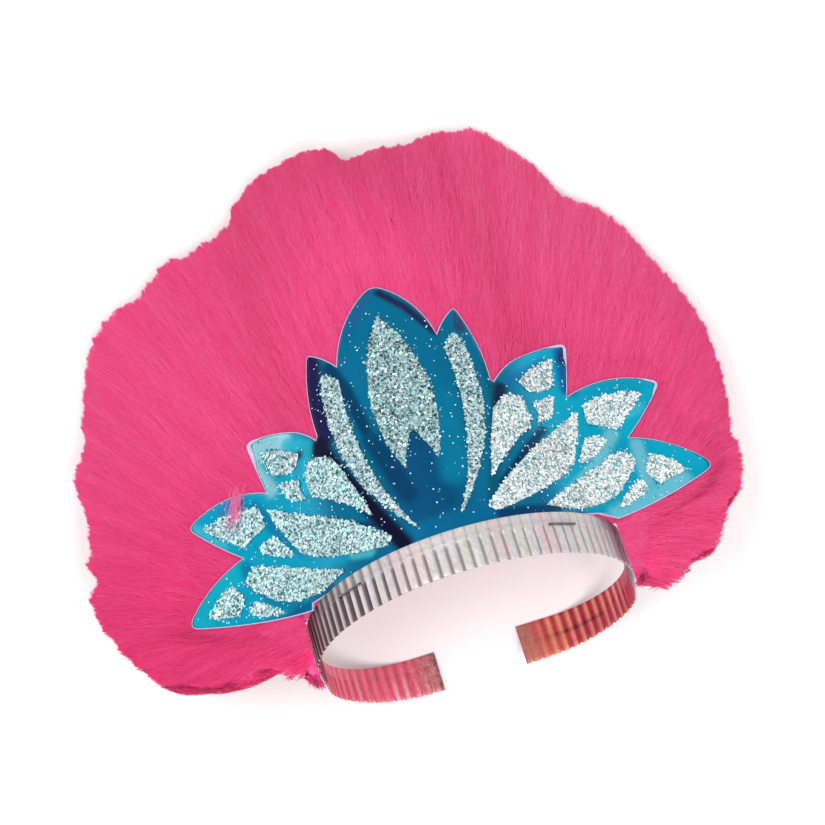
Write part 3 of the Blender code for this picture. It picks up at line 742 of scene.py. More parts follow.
def flakes(rng, x, z, forward, radius, lean, powers, tones):
    """Six-sided flakes at places on the plate, each leaning its own way: points, faces and painted reflections.
    """
    count = len(x)
    middle = bend(x, z, forward)
    angle = card_angle(x)
    along = np.stack([np.cos(angle), np.sin(angle), np.zeros(count)], axis=1)
    up = np.tile((0.0, 0.0, 1.0), (count, 1))
    out = np.cross(along, up)
    tilt = rng.normal(0.0, lean, (count, 2))
    normal = unit(out + along * tilt[:, :1] + up * tilt[:, 1:])
    first = unit(np.cross(up, normal))
    second = np.cross(normal, first)
    start = rng.uniform(0, math.pi / 3, count)
    corners = []
    for corner in range(FLAKE_SIDES):
        turn = (start + corner * math.pi / 3)[:, None]
        corners.append(middle + radius[:, None] * (first * np.cos(turn) + second * np.sin(turn)))
    points = np.stack(corners, axis=1).reshape(-1, 3)
    base = np.arange(count)[:, None] * FLAKE_SIDES
    faces = np.concatenate([base + np.array(row) for row in ((0, 1, 2, 3), (0, 3, 4, 5))])
    shares = np.array([row[0] for row in FLAKE_REFLECTIONS])
    colours = np.array([linear(row[1]) for row in FLAKE_REFLECTIONS])
    kind = rng.choice(len(shares), count, p=shares / shares.sum())
    colours_and_painted_light = colours[kind] ** powers[:, None] * tones * rng.uniform(0.86, 1.06, (count, 1))
    return points, faces, np.repeat(np.clip(colours_and_painted_light, 0, 1), FLAKE_SIDES, axis=0)


def patch_outlines():
    found = [("patch_centre", shifted(outline_from_rows(CENTRE_PATCH)))]
    for name, rows in SIDE_PATCHES:
        half = outline_from_rows(rows)
        found += [(f"patch_{name}_right", shifted(half)), (f"patch_{name}_left", shifted(half, -1))]
    return found


# Each patch's bed rises in steps from the rim: how far in, and how high over the plate's middle.
BED_RINGS = ((0.0, 0.56), (0.35, 1.0), (0.9, 1.25))
BED_CELL = 2.5
FLAKES_PER_MM2 = 2.3
FLAKE_SIZES = (0.42, 0.72)
FLAKE_LEAN = 0.3
FLAKE_SCATTER = 0.35
DEEP_INSET = 0.8
DEEP_HEIGHT = 1.28
EDGE_HEIGHT = 0.9
HEIGHT_SPREAD = 0.5

# Loose flakes: their number of tries over the plate's box, and how far round a patch most of them lie.
LOOSE_TRIES = 8600
LOOSE_BOX = ((-128, 126), (1, 126))
LOOSE_INSET = 0.9
LOOSE_SPREAD = 2.6
LOOSE_SIZES = (0.2, 0.46)
LOOSE_LEAN = 0.16
LOOSE_HEIGHT = 0.78
LOOSE_POWER = 0.9
LOOSE_TINT = (0.7, 0.95, 1.0)


def build_bed(name, outline, material):
    """One patch's bed: rings that step in and up from its rim, and a flat top."""
    size = len(outline)
    rings = [inset_outline(outline, inset) for inset, height in BED_RINGS]
    places, cap, rim = flat_cells(rings[-1], BED_CELL)
    levels = [bend(row[:, 0], row[:, 1], height) for row, (inset, height) in zip(rings, BED_RINGS)]
    points = np.concatenate(levels[:-1] + [bend(places[:, 0], places[:, 1], BED_RINGS[-1][1])])
    blocks = (cap + (len(BED_RINGS) - 1) * size, tube(len(BED_RINGS), size))
    bed = mesh_object(name.replace("patch", "glitter_bed"), to_world(points), blocks, material, smooth=False)
    place(bed, "glitter", name)


def patch_flakes(rng, name, outline):
    """The flakes of one patch: places, heights, sizes, powers and tints over them all."""
    ring = np.array(outline)
    low, high = ring.min(0) - 1.0, ring.max(0) + 1.0
    tries = int(FLAKES_PER_MM2 * (high - low).prod())
    x, z = rng.uniform(low[0], high[0], tries), rng.uniform(low[1], high[1], tries)
    kept = inside(outline, x + rng.normal(0, FLAKE_SCATTER, tries), z + rng.normal(0, FLAKE_SCATTER, tries))
    x, z = x[kept], z[kept]
    count = len(x)
    deep = inside(inset_outline(outline, DEEP_INSET), x, z)
    heights = np.where(deep, DEEP_HEIGHT, EDGE_HEIGHT) + rng.uniform(0.0, HEIGHT_SPREAD, count)
    sizes = rng.uniform(*FLAKE_SIZES, count)
    power, tone = next(row[1:] for row in FLAKE_TONES if row[0] in name)
    return x, z, heights, sizes, np.full(count, power), np.tile(tone, (count, 1))


def build_glitter(rng, plate):
    patches = patch_outlines()
    bed = bed_material()
    gathered = []
    for name, outline in patches:
        gathered.append(patch_flakes(rng, name, outline))
        build_bed(name, outline, bed)
    material = flake_material()
    x, z, heights, sizes, powers, tones = (np.concatenate(rows) for rows in zip(*gathered))
    points, faces, colours_and_painted_light = flakes(rng, x, z, heights, sizes, FLAKE_LEAN, powers, tones)
    place(mesh_object("glitter_flakes", to_world(points), (faces,), material, False, colours_and_painted_light), "glitter")

    x, z = (rng.uniform(*span, LOOSE_TRIES) for span in LOOSE_BOX)
    kept = inside(inset_outline(plate, LOOSE_INSET), x, z)
    near = np.zeros(LOOSE_TRIES, bool)
    for name, outline in patches:
        kept &= ~inside(outline, x, z)
        moved = (row + rng.normal(0, LOOSE_SPREAD, LOOSE_TRIES) for row in (x, z))
        near |= inside(outline, *moved)
    kept &= near | (rng.uniform(size=LOOSE_TRIES) < 0.1 + 0.1 * smoothstep(np.abs(x), 50, 80))
    x, z = x[kept], z[kept]
    count = len(x)
    sizes = rng.uniform(*LOOSE_SIZES, count)
    points, faces, colours_and_painted_light = flakes(rng, x, z, np.full(count, LOOSE_HEIGHT), sizes, LOOSE_LEAN,
                                  np.full(count, LOOSE_POWER), np.tile(LOOSE_TINT, (count, 1)))
    place(mesh_object("loose_flakes", to_world(points), (faces,), material, False, colours_and_painted_light), "glitter")


# The band


def band_place(s):
    """Where the band's outer face runs: x, y and the outward normal at the distances s from the front."""
    side = np.where(s < 0, -1.0, 1.0)
    left = np.abs(s)
    quarter = math.pi / 2
    front = FRONT_RADIUS * quarter
    corner = CORNER_RADIUS * quarter
    a = np.clip(left / FRONT_RADIUS, 0, quarter)
    run = np.clip(left - front, 0, SIDE_RUN)
    b = np.clip((left - front - SIDE_RUN) / CORNER_RADIUS, 0, quarter)
    end = np.maximum(left - front - SIDE_RUN - corner, 0)
    x = FRONT_RADIUS * np.sin(a) - CORNER_RADIUS * (1 - np.cos(b)) - end
    y = FRONT_RADIUS * (1 - np.cos(a)) + run + CORNER_RADIUS * np.sin(b)
    turn = a + b
    return side * x, y, side * np.sin(turn), -np.cos(turn)


def band_length(tip_x):
    return (FRONT_RADIUS + CORNER_RADIUS) * math.pi / 2 + SIDE_RUN + FRONT_RADIUS - CORNER_RADIUS - tip_x


def band_waist(s):
    """How much the band's lower edge is drawn up: most in the arms' bends."""
    ends = np.where(s < 0, band_length(TIP_X_LEFT), band_length(TIP_X_RIGHT))
    share = np.maximum(0.0, (np.abs(s) - WAIST_START) / (ends - WAIST_START))
    return ARM_WAIST * np.sin(np.pi * share) ** 2


RIB_PHASES = (0.0, 0.12, 0.3, 0.5, 0.6, 0.66, 0.72, 0.78, 0.84, 0.93)
BAND_LEVELS = (0.0, -0.35, -1.6, -2.6, -3.6, -4.6, -5.4, -6.2, -7.2, -8.6, -9.6, -10.6, -12.4, -14.2, -16.0,
               -17.8, -19.9, -20.5)

# One rib's section: where its crest ends and its groove lies in the pitch, and how rounded the crest is.
CREST_END = 0.6
CROWN = 0.07
GROOVE_PHASE = 0.75
GROOVE_HALF = 0.16

# Between these levels under the top edge the dotted margin gives way to the ribs.
MARGIN_END = (5.9, 7.3)
BEADS = (
    # level under the top edge, half height, depth
    (4.2, 0.8, 0.35),
    (1.9, 0.5, 0.12),
)
EDGE_ROUND = 0.18
EDGE_DENTS = (0.25, 0.35)

SILVER = (199, 195, 194)
INNER_SHADE = 0.9
RIB_VARIATION = 0.05
OUTER_SPECKLE = 0.07
INNER_SPECKLE = 0.06

# Soft tints from the front out: painted reflections at the outer face's ends, then the arms' inner faces.
OUTER_REFLECTIONS = (
    # side, starts, is full at, colour, strength
    (-1, 50.0, 72.0, (74, 54, 62), 0.84),
    (1, 74.0, 100.0, (146, 160, 170), 0.5),
)
ARM_TINTS = (
    # side, share along the arm where it starts and is full, colour, strength
    (-1, 0.00, 0.05, (246, 118, 142), 1.0),
    (-1, 0.84, 0.95, (200, 142, 138), 0.8),
    (-1, 0.975, 0.985, (110, 88, 84), 0.7),
    (1, 0.00, 0.05, (206, 74, 100), 1.0),
    (1, 0.72, 0.80, (228, 104, 98), 0.8),
    (1, 0.90, 0.97, (188, 146, 128), 0.85),
)


def layer(base, *coats):
    """The base colours under coats of colour and painted light, each a colour and its share at each place."""
    for colour, share in coats:
        base = base + (linear(colour) - base) * np.clip(share, 0, 1)[..., None]
    return base


def peak(x, middle, width):
    return np.exp(-(((x - middle) / width) ** 2))


def band_colours_and_light(s, levels, phase, groove, deep):
    """The band's outer and inner colours, with painted shade in grooves and painted highlights and reflections.
    """
    rng = np.random.default_rng(BAND_SEED)
    shape = (len(s), len(levels))
    rib = np.cumsum(np.r_[0, np.diff(phase) < 0])
    # A random value for each rib, which picks ribs for small shifts of colour and for painted highlights.
    rib_chance = rng.uniform(-1, 1, (rib.max() + 1, 3))[rib]
    speckle = rng.normal(0.0, 1.0, shape)
    s, groove, deep, phase = s[:, None], groove[:, None], deep[None, :], phase[:, None]

    # Painted shade in the grooves, stronger on the left; on the left end, painted reflections darken part of
    # each rib.
    groove_shade = 0.62 + 0.3 * smoothstep(-s, -40.0, 30.0)
    left = smoothstep(-s, 12.0, 52.0)
    edge = 0.58 - 0.22 * smoothstep(-s, 36.0, 60.0)
    dark = smoothstep(phase, edge - 0.1, edge + 0.04) * (0.55 + 0.4 * deep)
    outer = np.tile(linear(SILVER), shape + (1,))
    outer *= 1 + RIB_VARIATION * rib_chance[:, None, :] + OUTER_SPECKLE * speckle[..., None]
    # Over the silver: painted shade beside and in the grooves, and painted reflections and highlights at the
    # ends.
    outer = layer(
        outer,
        ((212, 176, 182), 0.3 * (rib_chance[:, :1] > 0.6)),
        ((160, 150, 152), 0.5 * peak(phase, 0.6, 0.08) * (0.3 + 0.7 * deep)),
        ((104, 90, 96), groove_shade * groove**2 * (0.45 + 0.55 * deep)),
        ((140, 130, 134), 0.3 * peak(levels, -BEADS[0][0], 0.7) * (speckle > -0.4)),
        ((74, 54, 62), left * dark * (1.0 - 0.35 * (phase > 0.9))),
        *((colour, strength * smoothstep(side * s, start, full) * (0.55 + 0.45 * (phase > 0.3)))
          for side, start, full, colour, strength in OUTER_REFLECTIONS),
        ((232, 228, 228), 0.4 * left * (1 - smoothstep(phase, 0.1, 0.3)) * deep))

    inner = outer * INNER_SHADE
    crest = smoothstep(phase, 0.0, 0.1) * (1 - smoothstep(phase, 0.42, 0.52))
    height = smoothstep(-levels, 2.0, 18.0)
    arm_start = FRONT_RADIUS * math.pi / 2 + SIDE_RUN * 0.5
    for side, tip_x in ((-1, TIP_X_LEFT), (1, TIP_X_RIGHT)):
        on_side = side * s > 0
        along = (np.abs(s) - arm_start) / (band_length(tip_x) - arm_start)
        middle = on_side * (1 - smoothstep(along, 0.84, 0.94))
        inner = layer(inner, *((colour, strength * on_side * smoothstep(along, start, full))
                               for row_side, start, full, colour, strength in ARM_TINTS if row_side == side))
        if side < 0:
            # The left arm: painted highlights on its crests, paler on some ribs lower down, and painted shade
            # in its grooves.
            pale = middle * smoothstep(along, 0.5, 0.56) * height * (rib_chance[:, 1:2] > -0.3)
            rough = on_side * smoothstep(along, 0.78, 0.92)
            inner = layer(
                inner,
                ((255, 164, 188), 0.5 * middle * crest),
                ((222, 82, 106), 0.5 * middle * groove),
                ((252, 222, 230), 0.65 * pale * crest),
                ((236, 206, 200), 0.35 * rough * (speckle > 0.9)),
                ((92, 56, 60), 0.35 * rough * (speckle < -1.2)))
        else:
            copper = middle * smoothstep(along, 0.3, 0.42)
            rough = on_side * smoothstep(along, 0.88, 0.95)
            # A painted shadow along a crimp line at the right arm's middle height, darker in the grooves.
            line = peak(levels, -10.2, 0.9) * smoothstep(along, 0.5, 0.58)
            line = line * (1 - 0.8 * smoothstep(along, 0.72, 0.96)) * (0.5 + 0.5 * groove) * on_side
            # The right arm: copper on its crests, painted shade in its grooves, and the crimp line's painted
            # shadow.
            inner = layer(
                inner,
                ((250, 190, 142), 0.8 * copper * crest * (1.05 - 0.35 * height)),
                ((150, 48, 60), 0.65 * copper * groove),
                ((222, 150, 116), 0.4 * on_side * smoothstep(along, 0.75, 0.85) * height),
                ((220, 120, 140), 0.5 * rough * (rib_chance[:, 2:] > 0.1)),
                ((44, 14, 22), line))
    inner *= 1 + INNER_SPECKLE * speckle[..., None]
    return np.clip(outer, 0, 1), np.clip(inner, 0, 1)


def build_band():
    first, last = -band_length(TIP_X_LEFT) + END_TAB, band_length(TIP_X_RIGHT) - END_TAB
    ribs = round((last - first) / RIB_PITCH)
    pitch = (last - first) / ribs
    ribbed = [first + (rib + phase) * pitch for rib in range(ribs) for phase in RIB_PHASES]
    s = np.array([first - END_TAB, *ribbed, last, last + END_TAB])
    phase = np.array([0.0, *(RIB_PHASES * ribs), 0.0, 0.0])
    groove = np.cos(np.clip((phase - GROOVE_PHASE) / GROOVE_HALF, -1, 1) * math.pi / 2) ** 0.8
    groove *= phase > CREST_END - 0.05
    crown = CROWN * np.minimum(1.0, np.abs(phase / (CREST_END / 2) - 1.0) ** 2)
    levels = np.array(BAND_LEVELS)
    deep = smoothstep(-levels, *MARGIN_END)
    dent = sum(peak(levels, -level, half) * depth for level, half, depth in BEADS)
    outer = groove[:, None] * (RIB_DEPTH * deep + dent) + crown[:, None] * deep
    outer[:, (0, -1)] += EDGE_ROUND
    inner = np.minimum(outer + BAND_SHEET, BAND_WALL)
    inner[:, (0, -1)] -= 2 * EDGE_ROUND
    x, y, nx, ny = (row[:, None] for row in band_place(s))
    heights = levels + band_waist(s)[:, None] * smoothstep(-levels, WAIST_TOP, BAND_HEIGHT)
    heights[:, -2:] += groove[:, None] * EDGE_DENTS
    faces = [np.stack([x - nx * depth, y - ny * depth, heights], axis=-1) for depth in (outer, inner)]
    rows = np.concatenate([faces[0], faces[1][:, ::-1]], axis=1)
    count, ring = rows.shape[:2]
    row = np.arange(ring // 2 - 1)[:, None]
    cap = np.hstack([row, ring - 1 - row, ring - 2 - row, row + 1])
    blocks = (tube(count, ring), cap, cap[:, ::-1] + (count - 1) * ring)
    outer_colour_and_light, inner_colour_and_light = band_colours_and_light(s, levels, phase, groove, deep)
    colours_and_painted_light = np.concatenate([outer_colour_and_light, inner_colour_and_light[:, ::-1]], axis=1).reshape(-1, 3)
    band = mesh_object("crimped_band", to_world(rows.reshape(-1, 3)), blocks, band_material(),
                       point_colours=colours_and_painted_light)
    place(band, "silver_foil", "band")


# The plume


def share_on_plate(inner, outer, outline):
    """For each ray, the share of its way at which it has left the plate's outline for good."""
    way = outer - inner
    last = np.zeros(len(inner))
    for start, end in outline_edges(outline):
        edge = end - start
        cross = way[:, 0] * edge[1] - way[:, 1] * edge[0]
        cross = np.where(np.abs(cross) < 1e-9, 1e-9, cross)
        off = start - inner
        along = (off[:, 0] * edge[1] - off[:, 1] * edge[0]) / cross
        across = (off[:, 0] * way[:, 1] - off[:, 1] * way[:, 0]) / cross
        met = (across >= 0) & (across <= 1) & (along >= 0) & (along <= 1)
        last = np.where(met, np.maximum(last, along), last)
    return np.minimum(LATEST_LEAVE, last + LEAVE_MARGIN / np.linalg.norm(way, axis=1))


def step_between(table, at):
    """The table's second column at places of its first, in smooth steps from row to row."""
    rows = np.array(table)
    index = np.clip(np.searchsorted(rows[:, 0], at, side="right") - 1, 0, len(rows) - 2)
    share = smoothstep(at, rows[index, 0], rows[index + 1, 0])
    return rows[index, 1] * (1 - share) + rows[index + 1, 1] * share


def past_shoulders(u, start, full):
    """How far the rays lie past a shoulder, down one of the two lobes that hang beside the band."""
    low, high = SHOULDER_ANGLES
    return smoothstep(low - u, start, full) + smoothstep(u - high, start, full)


class Plume:
    """The plume's front and back, as rays from the plate's foot out to the rim."""

    def __init__(self, outline):
        self.first, self.last = PLUME_RIM[0][0], PLUME_RIM[-1][0]
        self.angles = np.linspace(self.first, self.last, RAYS)
        radius = sum(step_between(table, self.angles) for table in (PLUME_RIM, DOWN_EDGE))
        phase = LOCKS * (self.angles - self.first) / (self.last - self.first)
        self.swell = np.abs(np.sin(np.pi * phase)) ** LOCK_ROUNDNESS
        turn = np.radians(self.angles)
        self.outer = np.stack([radius * np.cos(turn), PLUME_CENTRE_Z + radius * np.sin(turn)], axis=1)
        low, high = SHOULDER_ANGLES
        arch = np.pi * (np.clip(self.angles, low, high) - low) / (high - low)
        fall = np.where(self.angles < low, (self.angles - low) / (self.first - low),
                        np.where(self.angles > high, (self.angles - high) / (self.last - high), 0.0))
        drop = (LOBE_DROP - UNDERSIDE_Z) * fall
        self.inner = np.stack([UNDERSIDE_X * np.cos(arch), UNDERSIDE_Z + drop], axis=1)
        padded = np.pad(share_on_plate(self.inner, self.outer, outline), WIDENING, mode="edge")
        widest = np.max([padded[k: k + RAYS] for k in range(2 * WIDENING + 1)], axis=0)
        kernel = np.hanning(2 * SMOOTHING + 1)
        self.leaves = np.convolve(np.pad(widest, SMOOTHING, mode="edge"), kernel / kernel.sum(), mode="valid")
        self.length = np.linalg.norm(self.outer - self.inner, axis=1)
        self.outer_rate = np.gradient(self.outer, self.angles, axis=0)
        self.inner_rate = np.gradient(self.inner, self.angles, axis=0)

    def look_up(self, values, u):
        share = (np.clip(u, self.first, self.last) - self.first) / (self.last - self.first)
        place = share * (len(self.angles) - 1)
        low = np.minimum(place.astype(int), len(self.angles) - 2)
        t = place - low
        if values.ndim == 2:
            t = t[..., None]
        return values[low] * (1 - t) + values[low + 1] * t

    def surface(self, u, v, back):
        inner, outer = self.look_up(self.inner, u), self.look_up(self.outer, u)
        swell, leaves, length = (self.look_up(row, u) for row in (self.swell, self.leaves, self.length))
        flat = inner + (outer - inner) * v[..., None]
        x, z = flat[..., 0], flat[..., 1]
        at = np.clip(v, 0.0, 1.0)
        held = inner + (outer - inner) * at[..., None]
        taper = np.minimum(1.0, length / FULL_RAY)
        furrow = 1.0 - LOCK_FURROW * (BACK_FURROW if back else FRONT_FURROW) * (1.0 - swell)
        floor = BAND_DEPTH - outer[..., 1] * math.tan(LIE_ANGLE)
        rim_y = np.minimum(RIM_DEPTH + RIM_SWEEP * np.abs(outer[..., 0]), floor - RIM_LIFT)
        behind = bend(held[..., 0], held[..., 1], -(CARD / 2 + PLUME_GAP))[..., 1]
        if back:
            phase = np.minimum(1.0, FOOT_FULLNESS + (1.0 - FOOT_FULLNESS) * at**FULLNESS_LEAN)
            fullness = np.sin(np.pi * phase) ** FULLNESS_ROUNDNESS
            base = behind * (1 - at * at) + rim_y * at * at
            y = base + (LEAST_DEPTH + (PLUME_THICKNESS - LEAST_DEPTH) * fullness * furrow) * taper
            turn = np.maximum(at - RIM_TURN, 0.0) / (1.0 - RIM_TURN)
            y = y + (rim_y + RIM_HALF_DEPTH - y) * turn
            y = np.minimum(y, BAND_DEPTH - held[..., 1] * math.tan(LIE_ANGLE))
        else:
            part = np.clip((at - leaves) / (1.0 - leaves), 0.0, 1.0)
            blend = part * part
            puff = PUFF * np.sin(np.pi * part) * furrow * taper
            y = behind * (1 - blend) + (rim_y - RIM_HALF_DEPTH) * blend - puff
            fade = np.exp(-at * length / LOBE_FADE)
            x = x - np.sign(x) * LOBE_PULL * past_shoulders(u, *ON_LOBE) * fade
            z = z - LOBE_HANG * past_shoulders(u, *LOBE_END) * fade
        over = np.maximum(v - 1.0, 0.0) * length
        return np.stack([x, y + TIP_SINK * over, z], axis=-1)

    def reach(self, u):
        """How far the tips stand beyond the rim: small uneven steps."""
        wave = np.sin(u * 1.9 + 2.0 * np.sin(u * 0.31)) + 0.8 * np.sin(u * 4.3 + 1.0) + 0.5 * np.sin(u * 9.1)
        return REACH + REACH_SPREAD * wave

    def width(self, u, v):
        inner, outer = self.look_up(self.inner_rate, u), self.look_up(self.outer_rate, u)
        rate = inner * (1 - v)[..., None] + outer * v[..., None]
        return np.maximum(np.linalg.norm(rate, axis=-1), 0.05)


# The core lies under the down: how far inside the rim and beyond the foot it ends, and under each face.
CORE_INSET = 4.5
CORE_FOOT = 2.5
CORE_SINK_FRONT = 0.9
CORE_SINK_BACK = 1.2
CORE_LEAST = 0.5
CORE_SECTIONS = LOCKS * 8


def build_core(plume, material):
    u = np.linspace(plume.first, plume.last, CORE_SECTIONS + 1)
    lengths = plume.look_up(plume.length, u)[:, None]
    head = 1.0 - CORE_INSET / lengths
    front_v = head * np.concatenate([np.linspace(0.0, 0.3, 4), np.linspace(0.36, 1.0, 16)])
    foot = -CORE_FOOT / lengths * past_shoulders(u, *ON_LOBE)[:, None]
    back_v = foot + (head - foot) * np.linspace(1.0, 0.0, 18)
    front = plume.surface(np.repeat(u[:, None], front_v.shape[1], 1), front_v, False)
    back = plume.surface(np.repeat(u[:, None], back_v.shape[1], 1), back_v, True)
    front[..., 1] += CORE_SINK_FRONT * smoothstep(front_v, 0.0, 0.2)
    least = front[:, ::-1][:, : back_v.shape[1], 1] + CORE_LEAST
    back[..., 1] = np.maximum(back[..., 1] - CORE_SINK_BACK, least)
    rows = np.concatenate([front, back], axis=1)
    count, ring = rows.shape[:2]
    around = np.arange(ring)
    caps = np.stack([around[::-1], (count - 1) * ring + around])
    blocks = (tube(count, ring)[:, (0, 3, 2, 1)], caps)
    core = mesh_object("down_core", to_world(rows.reshape(-1, 3)), blocks, material)
    place(core, "marabou", "plume")


def lock_noise(u, v, seed):
    """A soft pattern of streaks that run out along the plume."""
    return (np.sin(u * 0.93 + seed + 2.1 * np.sin(v * 2.3 + u * 0.11)) * 0.4
            + np.sin(u * 2.71 + 2.3 * seed + 1.6 * np.sin(v * 4.1 + u * 0.37)) * 0.35
            + np.sin(u * 7.3 + 1.7 * seed + 1.1 * np.sin(v * 6.7)) * 0.25)


# How a combed fibre turns and bows, with its lock and by itself.
TURN = (0.15, 0.08)
BOW = (0.12, 0.07)

# The down is lighter at the upper right and darker at the low left, and how much its facing varies.
RIGHT_LIGHT = 0.12
LOW_LEFT_DARK = 0.2
SHADING_SPREAD = 0.11

# How far the fibres stay off the floor and behind the card.
OFF_FLOOR = 0.5
OFF_CARD = 0.35

# Fibres are shorter on rays under the first length, and few grow inwards on rays between the other two.
WHOLE_FIBRE_RAY = 90.0
INWARD_RAYS = (12.0, 30.0)

# The steps across and along the plume over which its surface's slope is taken.
SIDE_STEP = 0.8
ON_STEP = 0.02

# The rim's short fibres and the fringe on the lobes' low ends. The rim's stand on rays over the least length.
EDGE_FIBRES = 14000
EDGE_LENGTHS = (5.0, 10.0)
EDGE_THICKNESS = 0.3
LEAST_RAY = 20.0
FRINGE_FIBRES = 1600
FRINGE_LENGTHS = (3.0, 5.5)
FRINGE_THICKNESS = 0.34
FRINGE_TONE = 0.45
FIBRE_STEPS = 4
ALONG = np.linspace(0.0, 1.0, FIBRE_STEPS)[None, :]


def tapered(rng, count, thickness, least=0.7, most=1.0):
    """The widths of the fibres at the places where they have one: narrower at the root and near the tip."""
    return rng.uniform(least, most, (count, 1)) * thickness * np.array([[0.8, 1.0, 0.75]])


def lock_tone(u, v):
    return 0.5 + 0.10 * lock_noise(u, v, 2.0)


def comb(plume, rng, count, back, v_range, lengths, lift, thickness, mask, inward):
    """Fibres that lie along the plume from root to tip: spines, ways across, shades, widths and normals."""
    found = []
    have = 0
    while have < count:
        tries = count * 2
        u = rng.uniform(plume.first, plume.last, tries)
        if inward:
            low, high = SHOULDER_ANGLES
            from_low = rng.uniform(size=tries) < 0.5
            u = np.where(from_low, rng.uniform(plume.first, low, tries), rng.uniform(high, plume.last, tries))
        v = rng.uniform(*v_range, tries)
        weight = plume.width(u, v) * plume.look_up(plume.length, u)
        if inward:
            weight = weight * smoothstep(plume.look_up(plume.length, u), *INWARD_RAYS)
        kept = rng.uniform(size=tries) < weight / weight.max()
        u, v = u[kept], v[kept]
        size = len(u)
        ray = plume.look_up(plume.length, u)
        fibre = rng.uniform(*lengths, size) * np.clip(ray / WHOLE_FIBRE_RAY, 0.5, 1.0)
        turn = TURN[0] * lock_noise(u, v, 1.0) + TURN[1] * rng.normal(size=size)
        bow = BOW[0] * lock_noise(u, v, 4.0) + BOW[1] * rng.normal(size=size)
        if inward:
            v_end = np.maximum(v - fibre / ray, -rng.uniform(-0.4, 0.8, size) / ray)
        else:
            tip = 1.0 + (plume.reach(u) * rng.uniform(0.75, 1.05, size) + rng.normal(0, 0.35, size)) / ray
            v_end = np.minimum(v + fibre * np.cos(turn) / ray, tip)
        fibre = np.abs(v_end - v) * ray
        vs = v[:, None] + (v_end - v)[:, None] * ALONG
        sideways = fibre[:, None] * (np.sin(turn)[:, None] * ALONG + bow[:, None] * ALONG * ALONG)
        us = u[:, None] + sideways / np.maximum(plume.width(u, np.clip(v, 0.15, 1.0)), 0.6)[:, None]
        us = np.clip(us, plume.first, plume.last)
        spine = plume.surface(us, vs, back)
        middle = (v + v_end) / 2
        side = plume.surface(u + SIDE_STEP, middle, back) - plume.surface(u - SIDE_STEP, middle, back)
        onward = plume.surface(u, middle + ON_STEP, back) - plume.surface(u, middle - ON_STEP, back)
        normal = unit(np.cross(side, onward))
        normal *= np.where(normal[:, 1] > 0, 1.0, -1.0)[:, None] * (1.0 if back else -1.0)
        rise = rng.uniform(0.1, 1.0, size)[:, None] * lift * (0.1 + ALONG**0.8 * (1.0 - 0.45 * ALONG))
        spine = spine + normal[:, None, :] * rise[..., None]
        floor = BAND_DEPTH - spine[..., 2] * math.tan(LIE_ANGLE) - OFF_FLOOR
        spine[..., 1] = np.minimum(spine[..., 1], floor)
        seen = np.ones(size, bool)
        if mask is not None:
            hidden = mask(spine[..., 0], spine[..., 2])
            limit = card_depth(spine[..., 0]) + (CARD / 2 + OFF_CARD) / np.cos(card_angle(spine[..., 0]))
            spine[..., 1] = np.where(hidden, np.maximum(spine[..., 1], limit), spine[..., 1])
            seen = ~hidden.all(axis=1)
        way = unit(spine[:, -1] - spine[:, 0])
        across = unit(np.cross(way, normal) + normal * rng.normal(0, 0.12, (size, 1)))
        tone = lock_tone(u, v) + 0.05 * rng.normal(size=size)
        low_left = smoothstep(-spine[:, 0, 0], 20.0, 130.0) * (1 - smoothstep(spine[:, 0, 2], 10.0, 130.0))
        right = smoothstep(spine[:, 0, 0], 0.0, 110.0) * smoothstep(spine[:, 0, 2], 60.0, 150.0)
        tone += RIGHT_LIGHT * right - LOW_LEFT_DARK * low_left
        shading = unit(normal + SHADING_SPREAD * rng.normal(size=(size, 3)))
        combed = (spine, across, tone, tapered(rng, size, thickness), shading)
        found.append([rows[seen] for rows in combed])
        have += int(seen.sum())
    return [np.concatenate(rows)[:count] for rows in zip(*found)]


def edge_fibres(rng, spine, way, deep, tone, spread, thickness, outward):
    """Fibres all through the plume's thickness, from their spines and how deep each one lies."""
    facing = np.array((0.0, 1.0, 0.0)) * (2.0 * deep - 1.0)
    across = unit(np.cross(way, facing + rng.normal(0.0, 0.5, way.shape)))
    tone = tone + spread * rng.normal(size=len(spine))
    return spine, across, tone, tapered(rng, len(spine), thickness), unit(facing + outward * way)


def rim_fluff(plume, rng, count):
    """Short fibres that stand out all through the rim's thickness."""
    u = rng.uniform(plume.first, plume.last, count)
    deep = rng.uniform(0.0, 1.0, count)
    ray = plume.look_up(plume.length, u)
    u, deep, ray = (row[ray > LEAST_RAY] for row in (u, deep, ray))
    size = len(u)
    start = 1.0 - rng.uniform(*EDGE_LENGTHS, size) / ray
    tip = 1.0 + (plume.reach(u) + rng.normal(-0.2, 0.5, size)) / ray
    vs = start[:, None] + (tip - start)[:, None] * ALONG
    us = np.clip(u[:, None] + rng.normal(0.0, 1.1, (size, 1)) * ALONG, plume.first, plume.last)
    front, back = plume.surface(us, vs, False), plume.surface(us, vs, True)
    spine = front + (back - front) * deep[:, None, None]
    way = unit(spine[:, -1] - spine[:, 0])
    return edge_fibres(rng, spine, way, deep[:, None], lock_tone(u, start), 0.05, EDGE_THICKNESS, 0.5)


